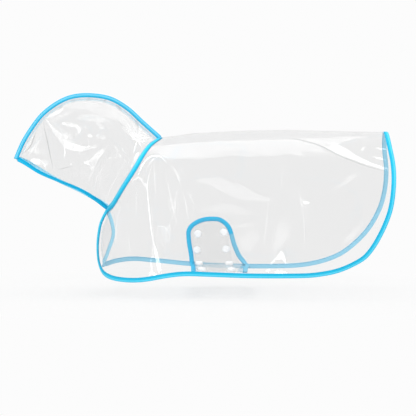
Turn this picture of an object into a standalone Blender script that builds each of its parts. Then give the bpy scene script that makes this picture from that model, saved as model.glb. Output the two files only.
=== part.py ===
"""Dog raincoat in clear vinyl with bound edges: a one-piece body, a two-piece hood and a belly strap.

The coat keeps the hollow form it has when worn. X runs along the back with the hood at -X and the
tail at +X, the left side of the coat is at -Y, and +Z is up. The origin is on the inner face of the
back panel at the withers, where the wearer's back carries the coat.
Tables are in millimetres; the meshes are in metres.
"""
import math

import bmesh
import bpy
from mathutils import Vector
from mathutils.bvhtree import BVHTree

MM = 0.001

# Walls, clearances and the edge tape
PANEL_WALL = 1.0
GAP = 0.3
TAPE_WALL = 1.0
TAPE_LEAF = 6.2              # how far the tape reaches onto the vinyl, from the vinyl's cut edge
TAPE_EASE = 0.5              # extra room between the tape's leaves and the vinyl, for its bends
TAPE_CHAMFER = 0.35          # takes the corner off the tape's fold
END_TRIM = 0.2               # each tape end stops this far short of the tape it meets
FACE_START = 3.6             # where the face tape starts, below the crown seam's tape
FIN = 7.4                    # height of the upright crown seam on the hood
SEAM_REACH = GAP + TAPE_WALL + 1.2     # from the body's cut edge to the hood's, at the nape
THROAT_REACH = 3.2                     # and at the throat, where the hood's edge lies on the tape
SEAM_TURN = math.radians(60.0)         # how far the hood's edge turns up off the tape by then
BEND_LIMIT = 0.7             # least share of a tape normal taken at a sharp bend
PROBE = 0.004                # share of a line's length over which its direction is read

# Grid sizes: columns along the coat, rows round it
BODY_COLUMNS = 30
BODY_RUNS = [(0.0, 11), (0.55, 10), (0.80, 4)]   # start of each stretch of the girth and its rows
HOOD_COLUMNS = 20
STRAP_COLUMNS = 6
PATCH_COLUMNS = 5

# Body form
SIDE_START = 0.50            # share of the girth at which the rounded back becomes the flat side
BACK_DROP = 84.0             # height over which the back rounds down to the sides
BODY_HALF_WIDTH = 90.0
SHOULDER_SHARE = 0.26        # share of the length over which the chest rounds to full width
TAIL_SHARE = 0.30            # share of the length over which the tail end takes its own section
COLUMN_CROWDING = 1.1        # power that crowds the columns towards the front

# Rows run along each line. x and z are the place in side view, half_width is the distance from the
# centre plane.
SPINE = [  # x, z
    (-62.0, -7.0), (-30.0, -2.4), (0.0, 0.5), (61.0, 3.6), (124.0, 5.0),
    (186.0, 3.6), (245.0, 2.3), (281.0, 2.0)]
NECK = [  # x, z, half_width
    (-62.0, -7.0, 0.0), (-66.0, -9.0, 16.0), (-76.0, -15.0, 32.0), (-86.0, -28.0, 46.0),
    (-97.7, -49.6, 56.0), (-115.7, -76.5, 50.0), (-129.6, -99.6, 32.0)]
FRONT_LEFT = [
    (-141.0, -113.0, 9.0), (-152.5, -133.0, 3.4), (-156.5, -153.5, 3.0), (-157.2, -173.0, 3.0),
    (-154.8, -194.0, 4.0), (-147.0, -210.5, 12.0)]
FRONT_RIGHT = [
    (-138.6, -113.5, 9.0), (-149.5, -133.0, 3.4), (-153.5, -153.5, 3.0), (-154.2, -173.0, 3.0),
    (-152.0, -187.0, 4.0), (-144.0, -197.0, 12.0)]
HEM_LEFT = [  # x, z
    (-147.0, -210.5), (-131.5, -216.5), (-103.0, -217.7), (-79.0, -215.0), (-51.0, -209.2),
    (-23.0, -206.0), (15.0, -207.0), (73.0, -208.9), (147.0, -208.9), (172.0, -207.4),
    (203.0, -201.4), (229.5, -190.0)]
HEM_RIGHT = [
    (-144.0, -197.0), (-130.0, -197.0), (-110.0, -193.8), (-77.0, -198.3), (-16.0, -204.6),
    (55.0, -209.2), (127.0, -209.2), (162.0, -205.5), (196.0, -195.1), (222.0, -181.5)]
TAIL_LEFT = [  # x, z, half_width
    (281.0, 2.0, 0.0), (281.4, -4.0, 21.0), (283.0, -18.0, 43.0), (287.0, -45.0, 66.0),
    (286.4, -76.0, 83.0), (280.5, -113.0, 90.0), (264.5, -151.7, 90.0), (245.5, -178.5, 89.0),
    (229.5, -190.0, 88.0)]
TAIL_RIGHT = [
    (281.0, 2.0, 0.0), (281.0, -5.0, 21.0), (283.0, -25.0, 44.0), (288.4, -57.5, 66.0),
    (286.3, -90.0, 84.0), (277.0, -120.0, 90.0), (255.2, -153.0, 90.0), (222.0, -181.5, 88.0)]
CROWN = [  # x, z of the hood's upper seam, from the tip to the nape
    (-279.5, -38.0), (-268.7, -11.7), (-254.0, 11.0), (-238.1, 30.7), (-215.1, 47.5),
    (-192.0, 57.5), (-164.4, 59.8), (-133.7, 54.4), (-107.7, 38.4), (-83.7, 15.8), (-66.0, 0.6)]
FACE_LEFT = [  # x, z, half_width, from below the tip to the throat
    (-273.2, -41.9, 0.65), (-270.2, -42.9, 5.0), (-261.6, -46.2, 15.0), (-238.8, -60.3, 30.0),
    (-212.8, -70.2, 40.0), (-178.8, -85.0, 42.0), (-157.5, -98.6, 29.0), (-149.6, -106.2, 18.0)]
FACE_RIGHT = [
    (-273.2, -41.9, 0.65), (-270.2, -42.6, 5.0), (-262.0, -44.8, 15.0), (-241.4, -54.7, 30.0),
    (-218.2, -67.8, 38.0), (-182.0, -89.0, 40.0), (-157.0, -100.4, 28.0), (-146.0, -107.8, 17.0)]
HOOD_BULGE = 26.0            # extra half width in the middle of each hood panel
HOOD_FULLNESS = 0.7          # below 1 the bulge spreads towards the face and the neck
CROWN_ROUNDING = 0.7         # below 1 the hood rounds out fast below its crown seam
CROWN_BLEND = 0.12           # share of the crown over which its seam leans to the end panels

# Belly strap: its path across the coat (y, z), then its two edges along that path
STRAP_PATH = [
    (-87.3, -201.2), (-60.0, -201.8), (0.0, -202.6), (50.0, -203.2), (74.6, -203.2), (82.2, -200.6),
    (86.2, -194.0), (86.8, -186.0), (86.8, -160.0), (86.8, -131.0)]
STRAP_EDGES = [  # share of the path, left edge x, right edge x
    (0.0, -12.0, 69.0), (0.45, -13.0, 72.0), (0.66, -14.5, 75.0), (0.72, -15.8, 69.5),
    (0.76, -17.0, 63.5), (0.83, -20.6, 56.0), (0.905, -22.7, 50.5), (0.935, -20.6, 46.8),
    (0.96, -15.8, 41.5), (0.98, -8.5, 35.0), (0.993, 0.5, 30.5), (1.0, 6.0, 24.0)]
STRAP_RUNS = [(0.0, 8), (0.64, 9), (0.80, 2)]   # start of each stretch and its stations
ARCH_START = 0.905
ARCH_STATIONS = 6
PATCH_LEFT = 7.2             # the reinforcement's distance inside the strap's left edge
PATCH_WIDTH = 57.0
PATCH_SHARES = (0.03, 0.92)

SNAP_RADIUS = 6.0
SNAP_HEIGHT = 5.0
SNAP_RIM = 1.2
SNAP_STEPS = 12
STRAP_SNAPS = [  # share of the strap's path, x
    (0.893, -3.4), (0.902, 36.4), (0.789, -4.9), (0.795, 39.6),
    (0.640, -1.8), (0.640, 44.2), (0.075, 3.2), (0.075, 46.6)]
FASTENED_SNAPS = 4           # the first snaps of the table hold the strap to the right side

# Folds: soft ridges (height > 0) and troughs, along a line in side view
FOLDS = [  # side, x1, z1, x2, z2, width, height
    (-1, -84.0, -52.0, -58.0, -200.0, 11.0, 4.0),
    (-1, -66.0, -70.0, -40.0, -190.0, 12.0, -3.0),
    (-1, -100.0, -95.0, -88.0, -205.0, 12.0, -3.0),
    (-1, 120.0, -8.0, 275.0, -55.0, 12.0, 2.6),
    (-1, 156.0, -70.0, 160.0, -150.0, 14.0, 2.2),
    (-1, 60.0, -60.0, 150.0, -78.0, 13.0, -2.4),
    (-1, 104.0, -200.0, 122.0, -165.0, 11.0, 2.6),
    (1, -86.0, -56.0, -64.0, -185.0, 12.0, 3.6),
    (1, -60.0, -70.0, -44.0, -170.0, 12.0, -2.6),
    (1, 130.0, -10.0, 272.0, -62.0, 12.0, 2.4),
    (1, 120.0, -70.0, 170.0, -150.0, 14.0, -2.2)]
HOOD_FOLDS = [
    (-1, -238.0, 22.0, -214.0, -66.0, 8.0, 3.0),
    (-1, -200.0, 20.0, -160.0, -62.0, 12.0, -2.6),
    (-1, -118.0, 24.0, -132.0, -80.0, 10.0, 2.4),
    (1, -234.0, 18.0, -206.0, -66.0, 9.0, 3.0),
    (1, -150.0, 20.0, -150.0, -76.0, 11.0, -2.6)]

VINYL = ("clear_vinyl_film", (0.90, 0.91, 0.92), 0.08)
TAPE = ("sky_blue_binding_tape", (0.026, 0.50, 0.78), 0.60)
RESIN = ("white_resin_snap", (0.90, 0.90, 0.91), 0.30)


def smooth(value):
    """Ease from 0 to 1."""
    value = min(max(value, 0.0), 1.0)
    return value * value * (3.0 - 2.0 * value)


def mix(a, b, share):
    return a * (1.0 - share) + b * share


def table_value(rows, position):
    """The other columns of a table, at a position of its first column."""
    for low, high in zip(rows, rows[1:]):
        if position <= high[0]:
            share = (position - low[0]) / (high[0] - low[0])
            return Vector(low[1:]).lerp(Vector(high[1:]), share)
    return Vector(rows[-1][1:])


class Line:
    """A smooth line through the rows of a table, read by the share of its length."""

    def __init__(self, rows):
        self.points = [Vector(row) for row in rows]
        self.marks = [0.0]
        for a, b in zip(self.points, self.points[1:]):
            self.marks.append(self.marks[-1] + (b - a).length)
        self.length = self.marks[-1]

    def share_of_row(self, index):
        return self.marks[index] / self.length

    def at(self, share):
        distance = min(max(share, 0.0), 1.0) * self.length
        last = len(self.points) - 2
        index = min(sum(mark <= distance for mark in self.marks) - 1, last)
        a, b = self.points[index], self.points[index + 1]
        span = self.marks[index + 1] - self.marks[index]
        f = (distance - self.marks[index]) / span
        slope_a, slope_b = self.slope(index), self.slope(index + 1)
        return (a * (1 + 2 * f) * (1 - f) ** 2 + b * f * f * (3 - 2 * f)
                + slope_a * (span * f * (1 - f) ** 2) - slope_b * (span * f * f * (1 - f)))

    def slope(self, index):
        low, high = max(index - 1, 0), min(index + 1, len(self.points) - 1)
        return (self.points[high] - self.points[low]) / (self.marks[high] - self.marks[low])


class Side:
    """One side of the body: -1 is the left side, +1 the right."""

    def __init__(self, hand, front, hem, tail):
        self.hand = hand
        self.spine = Line(SPINE)
        self.front = Line(NECK + front)
        self.hem = Line(hem)
        self.tail = Line(tail)
        self.throat = self.front.share_of_row(len(NECK))

    def point(self, along, around):
        """A point of the side's full surface: along from front to tail, around from spine to hem."""
        angle = min(around / SIDE_START, 1.0) * math.pi / 2
        drop = BACK_DROP * (1.0 - math.cos(angle))
        height = -self.hem.at(along)[1]
        if around > SIDE_START:
            drop += (height - BACK_DROP) * (around - SIDE_START) / (1.0 - SIDE_START)
        down = drop / height
        front, tail = self.front.at(around), self.tail.at(around)
        place = mix(self.spine.at(along), self.hem.at(along), down)
        place += (front.xy - mix(self.front.at(0).xy, self.front.at(1).xy, down)) * (1.0 - along)
        place += (tail.xy - mix(self.tail.at(0).xy, self.tail.at(1).xy, down)) * along
        width = mix(front[2], BODY_HALF_WIDTH * math.sin(angle), self.spread(along))
        width = mix(width, tail[2], smooth(1.0 - (1.0 - along) / TAIL_SHARE))
        return Vector((place[0], self.hand * width, place[1]))

    def spread(self, along):
        """How far the chest or shoulder has rounded out to full width."""
        share = min(along / SHOULDER_SHARE, 1.0)
        return 1.0 - (1.0 - share) ** 2


def grid_normals(grid):
    """Unit normal at every point of a grid of points."""
    last_i, last_j = len(grid) - 1, len(grid[0]) - 1
    normals = []
    for i, row in enumerate(grid):
        normals.append([])
        for j in range(len(row)):
            across = grid[min(i + 1, last_i)][j] - grid[max(i - 1, 0)][j]
            along = row[min(j + 1, last_j)] - row[max(j - 1, 0)]
            normals[-1].append(across.cross(along).normalized())
    return normals


def fold_height(folds, hand, x, z):
    """Summed height of the folds of one side at a place in side view."""
    total = 0.0
    for side, x1, z1, x2, z2, width, height in folds:
        if side != hand:
            continue
        start, run = Vector((x1, z1)), Vector((x2 - x1, z2 - z1))
        share = (Vector((x, z)) - start).dot(run) / run.length_squared
        if 0.0 < share < 1.0:
            distance = (Vector((x, z)) - start - run * share).length
            total += height * math.exp(-(distance / width) ** 2) * math.sin(math.pi * share)
    return total


def add_folds(grid, folds, keep_flat):
    """Push the grid's points out or in along its normals; keep_flat(i, j) fades the folds."""
    normals = grid_normals(grid)
    for i, row in enumerate(grid):
        for j, point in enumerate(row):
            hand = -1 if point.y < 0 else 1
            outward = normals[i][j] * (1.0 if normals[i][j].y * hand > 0 else -1.0)
            height = fold_height(folds, hand, point.x, point.z) * keep_flat(i, j)
            row[j] = point + outward * height


def material(spec):
    """The material of a (name, colour, roughness) row, made once."""
    name, colour, roughness = spec
    made = bpy.data.materials.get(name)
    if made is None:
        made = bpy.data.materials.new(name)
        made.use_nodes = True
        shader = made.node_tree.nodes["Principled BSDF"]
        shader.inputs["Base Color"].default_value = (*colour, 1.0)
        shader.inputs["Roughness"].default_value = roughness
        shader.inputs["Metallic"].default_value = 0.0
    return made


def add_object(name, mesh, spec, collection):
    """One named sub-part with its own mesh and material."""
    part = bpy.data.objects.new(name, mesh)
    mesh.materials.append(material(spec))
    collection.objects.link(part)
    return part


def add_sheet(name, grid, wall, spec, collection, outward):
    """A sheet of even wall through a grid of points; outward tells which way its face looks."""
    rows, columns = len(grid), len(grid[0])
    shape = bmesh.new()
    bmesh.ops.create_grid(shape, x_segments=columns - 1, y_segments=rows - 1, size=1.0)
    shape.verts.ensure_lookup_table()
    for index, vert in enumerate(shape.verts):
        vert.co = grid[index // columns][index % columns] * MM
    shape.normal_update()
    middle = shape.faces[:][len(shape.faces) // 2]
    if middle.normal.dot(outward(middle.calc_center_median() / MM)) < 0:
        bmesh.ops.reverse_faces(shape, faces=shape.faces)
    mesh = bpy.data.meshes.new(name)
    shape.to_mesh(mesh)
    shape.free()
    part = add_object(name, mesh, spec, collection)
    thick = part.modifiers.new("wall", "SOLIDIFY")
    thick.thickness = wall * MM
    thick.offset = 0.0
    thick.use_even_offset = True
    return part


def surface(grid):
    """The middle surface of a sheet, to find the nearest place on it."""
    columns = len(grid[0])
    faces = [(i * columns + j, i * columns + j + 1, (i + 1) * columns + j + 1, (i + 1) * columns + j)
             for i in range(len(grid) - 1) for j in range(columns - 1)]
    return BVHTree.FromPolygons([point for row in grid for point in row], faces)


def stations(edge, inner, sheet):
    """Tape stations along a cut edge: place, direction into the panel, panel's normal, tape's leaf.

    The direction into the panel is square to the edge and ends on the panel's surface, and the
    normal is lengthened where the edge bends, so the tape keeps its clearance.
    """
    last = len(edge) - 1
    found = []
    for index, point in enumerate(edge):
        ahead = (edge[min(index + 1, last)] - edge[min(index, last - 1)]).normalized()
        behind = (edge[max(index, 1)] - edge[max(index - 1, 0)]).normalized()
        tangent = (ahead + behind).normalized()
        inward = inner[index] - point
        for _ in range(3):
            inward = (inward - tangent * inward.dot(tangent)).normalized()
            inward = sheet.find_nearest(point + inward * TAPE_LEAF)[0] - point
        inward = (inward - tangent * inward.dot(tangent)).normalized()
        normal = tangent.cross(inward).normalized()
        facet = ahead.cross(inward).normalized()
        found.append((point, inward, normal / max(normal.dot(facet), BEND_LIMIT), TAPE_LEAF))
    return found


def point_inside(line):
    """The point where a grid line into the panel has come just past the tape's reach."""
    for a, b in zip(line, line[1:]):
        if (b - line[0]).length >= TAPE_LEAF + GAP:
            start = (a - line[0]).length
            return a.lerp(b, (TAPE_LEAF + GAP - start) / ((b - line[0]).length - start))
    return line[-1]


def trimmed(line, start=END_TRIM, end=END_TRIM):
    """The stations with both ends drawn back a little."""
    def moved(a, b, distance):
        step = (b[0] - a[0]).normalized() * distance
        return (a[0] + step, *a[1:])
    return [moved(line[0], line[1], start)] + line[1:-1] + [moved(line[-1], line[-2], end)]


def add_tape(name, line, collection, half_inside=PANEL_WALL / 2 + GAP + TAPE_EASE):
    """Binding tape folded round an edge: a U section carried along the stations."""
    side = half_inside + TAPE_WALL / 2
    back = -(GAP + TAPE_WALL / 2)
    fold = [(back + TAPE_CHAMFER, side), (back, side - TAPE_CHAMFER),
            (back, TAPE_CHAMFER - side), (back + TAPE_CHAMFER, -side)]
    grid = []
    for place, inward, normal, leaf in line:
        section = [(leaf, side)] + fold + [(leaf, -side)]
        grid.append([place + inward * a + normal * n for a, n in section])
    inward = line[(len(line) - 1) // 2][1]
    return add_sheet(name, grid, TAPE_WALL, TAPE, collection, lambda centre: -inward)


def run_positions(runs, end):
    """Even positions over each stretch of a table of starts and counts, without the end."""
    found = []
    ends = [start for start, _ in runs[1:]] + [end]
    for (start, count), stop in zip(runs, ends):
        found += [mix(start, stop, index / count) for index in range(count)]
    return found


def body_grid():
    """Rows from the left hem over the spine to the right hem, columns from front to tail."""
    left = Side(-1, FRONT_LEFT, HEM_LEFT, TAIL_LEFT)
    right = Side(1, FRONT_RIGHT, HEM_RIGHT, TAIL_RIGHT)
    girth = run_positions(BODY_RUNS, 1.0) + [1.0]
    columns = [(column / BODY_COLUMNS) ** COLUMN_CROWDING for column in range(BODY_COLUMNS + 1)]
    grid = [[left.point(along, around) for along in columns] for around in girth[:0:-1]]
    grid += [[right.point(along, around) for along in columns] for around in girth]
    last_row = len(grid) - 1
    add_folds(grid, FOLDS, lambda i, j: min(1.0, min(i, last_row - i, j / 2, BODY_COLUMNS - j) / 3))
    spine_row = len(girth) - 1
    nearest = [min(range(len(girth)), key=lambda row: abs(girth[row] - side.throat))
               for side in (left, right)]
    return grid, spine_row, spine_row - nearest[0], spine_row + nearest[1]


def body_edge(grid):
    """Stations round the whole body panel, starting at the left end of the front edge."""
    last_row, last_column = len(grid) - 1, len(grid[0]) - 1
    ring = [(i, 0) for i in range(last_row + 1)]
    ring += [(last_row, j) for j in range(1, last_column + 1)]
    ring += [(i, last_column) for i in range(last_row - 1, -1, -1)]
    ring += [(0, j) for j in range(last_column - 1, 0, -1)]
    edge = [grid[i][j] for i, j in ring]
    inner = []
    for i, j in ring:
        step_i = (i == 0) - (i == last_row)
        step_j = (j == 0) - (j == last_column)
        inner.append(point_inside([grid[i + step_i * k][j + step_j * k] for k in range(5)]))
    closed = stations([edge[-1]] + edge + [edge[0]], [inner[-1]] + inner + [inner[0]], surface(grid))
    return closed[1:len(ring) + 1]


def neck_seam(neck):
    """The hood's lower edge: before the neck tape at the nape, up on its outer face at the throat."""
    outward = 1.0 if neck[0][2].z > 0.0 else -1.0
    seam = []
    for index, (place, inward, normal, _) in enumerate(neck):
        share = index / (len(neck) - 1)
        angle = SEAM_TURN * smooth(share)
        reach = mix(SEAM_REACH, THROAT_REACH, smooth(share))
        seam.append(place + (normal * (outward * math.sin(angle)) - inward * math.cos(angle)) * reach)
    return seam


def hood_grid(hand, neck, face_rows):
    """Rows from the crown seam to the throat, columns from the face edge to the neck seam."""
    crown, face = Line(CROWN), Line(face_rows)
    seam = neck_seam(neck)
    rows = len(seam) - 1
    seam_side = [abs(point.y) for point in seam]
    fin_side = PANEL_WALL / 2 + GAP / 2
    columns = [column / HOOD_COLUMNS for column in range(HOOD_COLUMNS + 1)]

    def crown_frame(share):
        ahead, behind = crown.at(min(share + PROBE, 1.0)), crown.at(max(share - PROBE, 0.0))
        run = (ahead - behind).normalized()
        down = Vector((run.y, -run.x))
        start, end = face.at(0).xy - crown.at(0), Vector((seam[0].x, seam[0].z)) - crown.at(1)
        down = mix(start.normalized(), down, smooth(share / CROWN_BLEND))
        return mix(end.normalized(), down, smooth((1.0 - share) / CROWN_BLEND)).normalized()

    top = [crown.at(share) for share in columns]
    base = [place + crown_frame(share) * FIN for share, place in zip(columns, top)]
    base[-1] = Vector((seam[0].x, seam[0].z))
    base[0] = face.at(0).xy.copy()
    grid = [[Vector((p.x, hand * fin_side, p.y)) for p in top]]
    for row in range(rows + 1):
        share = row / rows
        face_point, seam_point = face.at(share), Vector((seam[row].x, seam[row].z))
        end_face, end_seam = face.at(1).xy, Vector((seam[-1].x, seam[-1].z))
        line = []
        for column, s in enumerate(columns):
            place = mix(base[column], mix(end_face, end_seam, s), share)
            place += (face_point.xy - mix(base[0], end_face, share)) * (1.0 - s)
            place += (seam_point - mix(base[-1], end_seam, share)) * s
            width = mix(face_point[2], max(seam_side[row], fin_side), s)
            rounding = math.sin(math.pi * min(share ** CROWN_ROUNDING, 1.0))
            width += HOOD_BULGE * math.sin(math.pi * s) ** HOOD_FULLNESS * rounding
            if row == 0:
                width = fin_side
            line.append(Vector((place.x, hand * width, place.y)))
        grid.append(line)
    last = len(grid) - 1
    add_folds(grid, HOOD_FOLDS,
              lambda i, j: min(1.0, max(min(i - 1, last - i, j, HOOD_COLUMNS - j), 0) / 2))
    return grid


def crown_stations(hood):
    """Tape stations along the upright crown seam; the leaf keeps to the seam's own height."""
    tops = [Vector((point.x, 0.0, point.z)) for point in hood[0]]
    bases = [Vector((point.x, 0.0, point.z)) for point in hood[1]]
    last = len(tops) - 1
    found = []
    for index, (top, base) in enumerate(zip(tops, bases)):
        tangent = (tops[min(index + 1, last)] - tops[max(index - 1, 0)]).normalized()
        down = base - top
        down -= tangent * down.dot(tangent)
        leaf = TAPE_LEAF * min(down.length / FIN, 1.0)
        found.append((top, down.normalized(), Vector((0.0, 1.0, 0.0)), leaf))
    return found


def strap_frame(path, share):
    """Place on the strap's path and the direction up off its upper face, both across the coat."""
    here = path.at(share)
    run = (path.at(min(share + PROBE, 1.0)) - path.at(max(share - PROBE, 0.0))).normalized()
    return here, Vector((-run.y, run.x))


def strap_shares():
    turn = [math.sin(math.pi / 2 * index / ARCH_STATIONS) for index in range(ARCH_STATIONS + 1)]
    return run_positions(STRAP_RUNS, ARCH_START) + [mix(ARCH_START, 1.0, value) for value in turn]


def strap_grid(path):
    """Rows along the strap from its end at the left hem to its rounded end, columns across it."""
    grid = []
    for share in strap_shares():
        here, _ = strap_frame(path, share)
        left, right = table_value(STRAP_EDGES, share)
        grid.append([Vector((mix(left, right, column / STRAP_COLUMNS), here.x, here.y))
                     for column in range(STRAP_COLUMNS + 1)])
    return grid


def patch_grid(path):
    """The clear reinforcement: a straight strip on the strap's upper face, under the snaps."""
    lift = PANEL_WALL + GAP
    grid = []
    shares = [share for share in strap_shares() if PATCH_SHARES[0] < share < PATCH_SHARES[1]]
    for share in shares:
        here, up = strap_frame(path, share)
        left, right = table_value(STRAP_EDGES, share)
        left += PATCH_LEFT
        right = min(left + PATCH_WIDTH, right - PATCH_LEFT)
        place = here + up * lift
        grid.append([Vector((mix(left, right, column / PATCH_COLUMNS), place.x, place.y))
                     for column in range(PATCH_COLUMNS + 1)])
    return grid


def snap_mesh():
    """Half outline of a domed snap, turned about Z by a Screw modifier on each snap."""
    outline = [(0.0, SNAP_HEIGHT)]
    for step in range(1, 4):
        angle = math.pi / 2 * step / 3
        outline.append((SNAP_RADIUS * math.sin(angle),
                        SNAP_RIM + (SNAP_HEIGHT - SNAP_RIM) * math.cos(angle)))
    outline += [(SNAP_RADIUS, 0.0), (0.0, 0.0)]
    mesh = bpy.data.meshes.new("snap")
    mesh.from_pydata([(x * MM, 0.0, z * MM) for x, z in outline],
                     [(i, i + 1) for i in range(len(outline) - 1)], [])
    return mesh


def add_snap(name, mesh, place, direction, collection):
    snap = add_object(name, mesh, RESIN, collection)
    turn = snap.modifiers.new("turn", "SCREW")
    turn.steps = turn.render_steps = SNAP_STEPS
    turn.use_merge_vertices = True
    turn.merge_threshold = 0.00001
    snap.rotation_euler = direction.to_track_quat("Z", "Y").to_euler()
    snap.location = place * MM


def build():
    """The whole coat: panel, bindings, hood, strap and snaps."""
    for old in list(bpy.data.objects):
        bpy.data.objects.remove(old, do_unlink=True)
    coat = bpy.data.collections.new("dog_raincoat")
    bpy.context.scene.collection.children.link(coat)

    grid, spine_row, left_throat, right_throat = body_grid()
    add_sheet("body_panel", grid, PANEL_WALL, VINYL, coat, lambda centre: Vector((0, 0, 1)))
    edge = body_edge(grid)
    neck = edge[left_throat:right_throat + 1]
    add_tape("neck_binding", trimmed(neck), coat)
    add_tape("edge_binding", trimmed(edge[right_throat:] + edge[:left_throat + 1]), coat)

    middle = spine_row - left_throat
    left_neck = neck[middle::-1][:-1]
    right_neck = neck[middle:][:-1]
    for side, hand, half_neck, rows in (("left", -1, left_neck, FACE_LEFT),
                                        ("right", 1, right_neck, FACE_RIGHT)):
        hood = hood_grid(hand, half_neck, rows)
        add_sheet(f"hood_{side}", hood, PANEL_WALL, VINYL, coat,
                  lambda centre, hand=hand: Vector((0, hand, 0)))
        inner = [point_inside(row) for row in hood[1:]]
        face_edge = stations([row[0] for row in hood[1:]], inner, surface(hood))
        add_tape(f"face_binding_{side}", trimmed(face_edge, start=FACE_START), coat)
    add_tape("crown_binding", crown_stations(hood), coat, half_inside=PANEL_WALL + GAP * 1.5)

    path = Line(STRAP_PATH)
    strap = strap_grid(path)
    upward = Vector((0, 0, 1))
    add_sheet("belly_strap", strap, PANEL_WALL, VINYL, coat, lambda centre: upward)
    add_sheet("snap_reinforcement", patch_grid(path), PANEL_WALL, VINYL, coat, lambda centre: upward)
    ring = [row[0] for row in strap] + strap[-1][1:-1] + [row[-1] for row in strap[::-1]]
    straight = sum(count for _, count in STRAP_RUNS)
    centre = (strap[straight][0] + strap[straight][-1]) / 2
    inner = [row[1] for row in strap[:straight]]
    inner += [centre] * (len(ring) - 2 * straight)
    inner += [row[-2] for row in strap[straight - 1::-1]]
    add_tape("strap_binding", stations(ring, inner, surface(strap)), coat)

    snap = snap_mesh()
    for index, (share, x) in enumerate(STRAP_SNAPS):
        here, up = strap_frame(path, share)
        lift = PANEL_WALL * 1.5 + GAP * 2
        place = Vector((x, here.x + up.x * lift, here.y + up.y * lift))
        add_snap(f"strap_snap_{index + 1}", snap, place, Vector((0, up.x, up.y)), coat)
        if index < FASTENED_SNAPS:
            outside = Vector((x, BODY_HALF_WIDTH + PANEL_WALL / 2 + GAP, here.y))
            add_snap(f"side_snap_{index + 1}", snap, outside, Vector((0, 1, 0)), coat)


build()
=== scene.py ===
"""Looks of the clear vinyl dog raincoat: film, folded tape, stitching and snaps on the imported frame."""

import functools
import itertools
import math

import bmesh
import bpy
import numpy as np
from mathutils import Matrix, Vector, noise
from mathutils.bvhtree import BVHTree


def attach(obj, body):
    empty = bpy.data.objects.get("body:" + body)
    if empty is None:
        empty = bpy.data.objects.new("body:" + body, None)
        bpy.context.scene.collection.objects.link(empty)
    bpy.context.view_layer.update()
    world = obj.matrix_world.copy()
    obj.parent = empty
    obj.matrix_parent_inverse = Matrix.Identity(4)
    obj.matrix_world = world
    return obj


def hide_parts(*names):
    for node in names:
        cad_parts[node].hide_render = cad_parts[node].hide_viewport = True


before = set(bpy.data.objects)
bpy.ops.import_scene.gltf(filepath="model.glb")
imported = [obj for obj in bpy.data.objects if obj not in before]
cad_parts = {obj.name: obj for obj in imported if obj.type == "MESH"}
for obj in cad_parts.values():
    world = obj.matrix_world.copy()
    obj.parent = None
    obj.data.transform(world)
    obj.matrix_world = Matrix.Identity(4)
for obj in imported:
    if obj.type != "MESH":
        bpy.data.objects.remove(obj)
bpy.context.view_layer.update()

MM = 0.001

# Everything below is in millimetres unless it says otherwise, and turned to metres as a piece is finished.

# Film, tape and thread
FILM_WALL = 0.3
TAPE_WIDTH = 6.6             # from the folded edge to the tape's own edge, on each side
FACE_TAPE_WIDTH = 6.2
CROWN_TAPE_WIDTH = 5.8
FACE_TAPE_OVERRUN = 4.5      # the face tapes end under the neck tape
TAPE_STEP = 0.9              # spacing of the tape's section points
TAPE_STATION = 2.6           # spacing of its stations along the edge
TAPE_LIFT = 0.5              # the tape's middle over the middle of the film
NECK_TAPE_LIFT = 0.65        # over the joined films of body and hood
CROWN_TAPE_LIFT = 0.8
TAPE_WALL = 0.35
TAPE_TURNS = 6               # steps of the tape's fold round the film's edge
PAINTED_VEIL_SHIFT = 40.0            # moves the tape's own coordinates into its painted veil: a paler colour for the film in front of it
STITCH_PITCH = 3.4
STITCH_LENGTH = 2.5
STITCH_RADIUS = 0.24
STITCH_INSET = 1.5           # from the tape's own edge
STITCH_NARROWING = 0.3       # share by which a stitch thins towards its ends

# Body form
SIDE_START = 0.50            # share of the girth at which the rounded back becomes the flat side
BACK_DROP = 84.0             # height of the rounded back
BODY_HALF_WIDTH = 90.0
SHOULDER_SHARE = 0.28        # shares of the length over which front and tail widen to the side
TAIL_SHARE = 0.30
WING_INSET = 3.0             # the right front lies this far inside the left one
WING_CORNER = 0.955          # share of the girth where its wing ends
COLUMNS, ROWS = 236, 98      # grid of one side: from front to tail, and from spine to hem
WING_ROUNDS = 16             # rounds in which the wing settles
FRONT_CROWDING = 1.6         # power that crowds the columns towards the front
FOLD_MARGINS = (14, 22, 14)  # grid steps over which folds fade out at the hems, the front and the tail
CREASE_MARGINS = (5, 12, 5)
HOLLOW_ENDS, HOLLOW_HEIGHT = (-60.0, 250.0), -95.0   # middle line of the coat's hollow

# Hood form
HOOD_COLUMNS, HOOD_ROWS = 150, 130
FIN = 6.5                    # height of the upright crown seam
FIN_ROWS = 5
FIN_ROUNDS = 4               # rounds in which the films settle under it
FIN_SIDE = FILM_WALL / 2 + 0.1         # half the distance between the two films in the seam
HOOD_BULGE = 26.0            # fullness of each side at its middle
CROWN_ROUNDING = 0.62        # under 1, the bulge starts fuller at the crown than at the throat
SEAM_EASING = 0.10           # share of the crown over which its seam turns into the face and the neck
HOOD_FOLD_MARGINS = (14, 14, 16, 14)   # at the crown, the throat, the face and the neck
HOOD_CREASE_MARGINS = (5, 6, 6, 6)
HOOD_HOLLOW = (-170.0, 0.0, -20.0)

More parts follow.
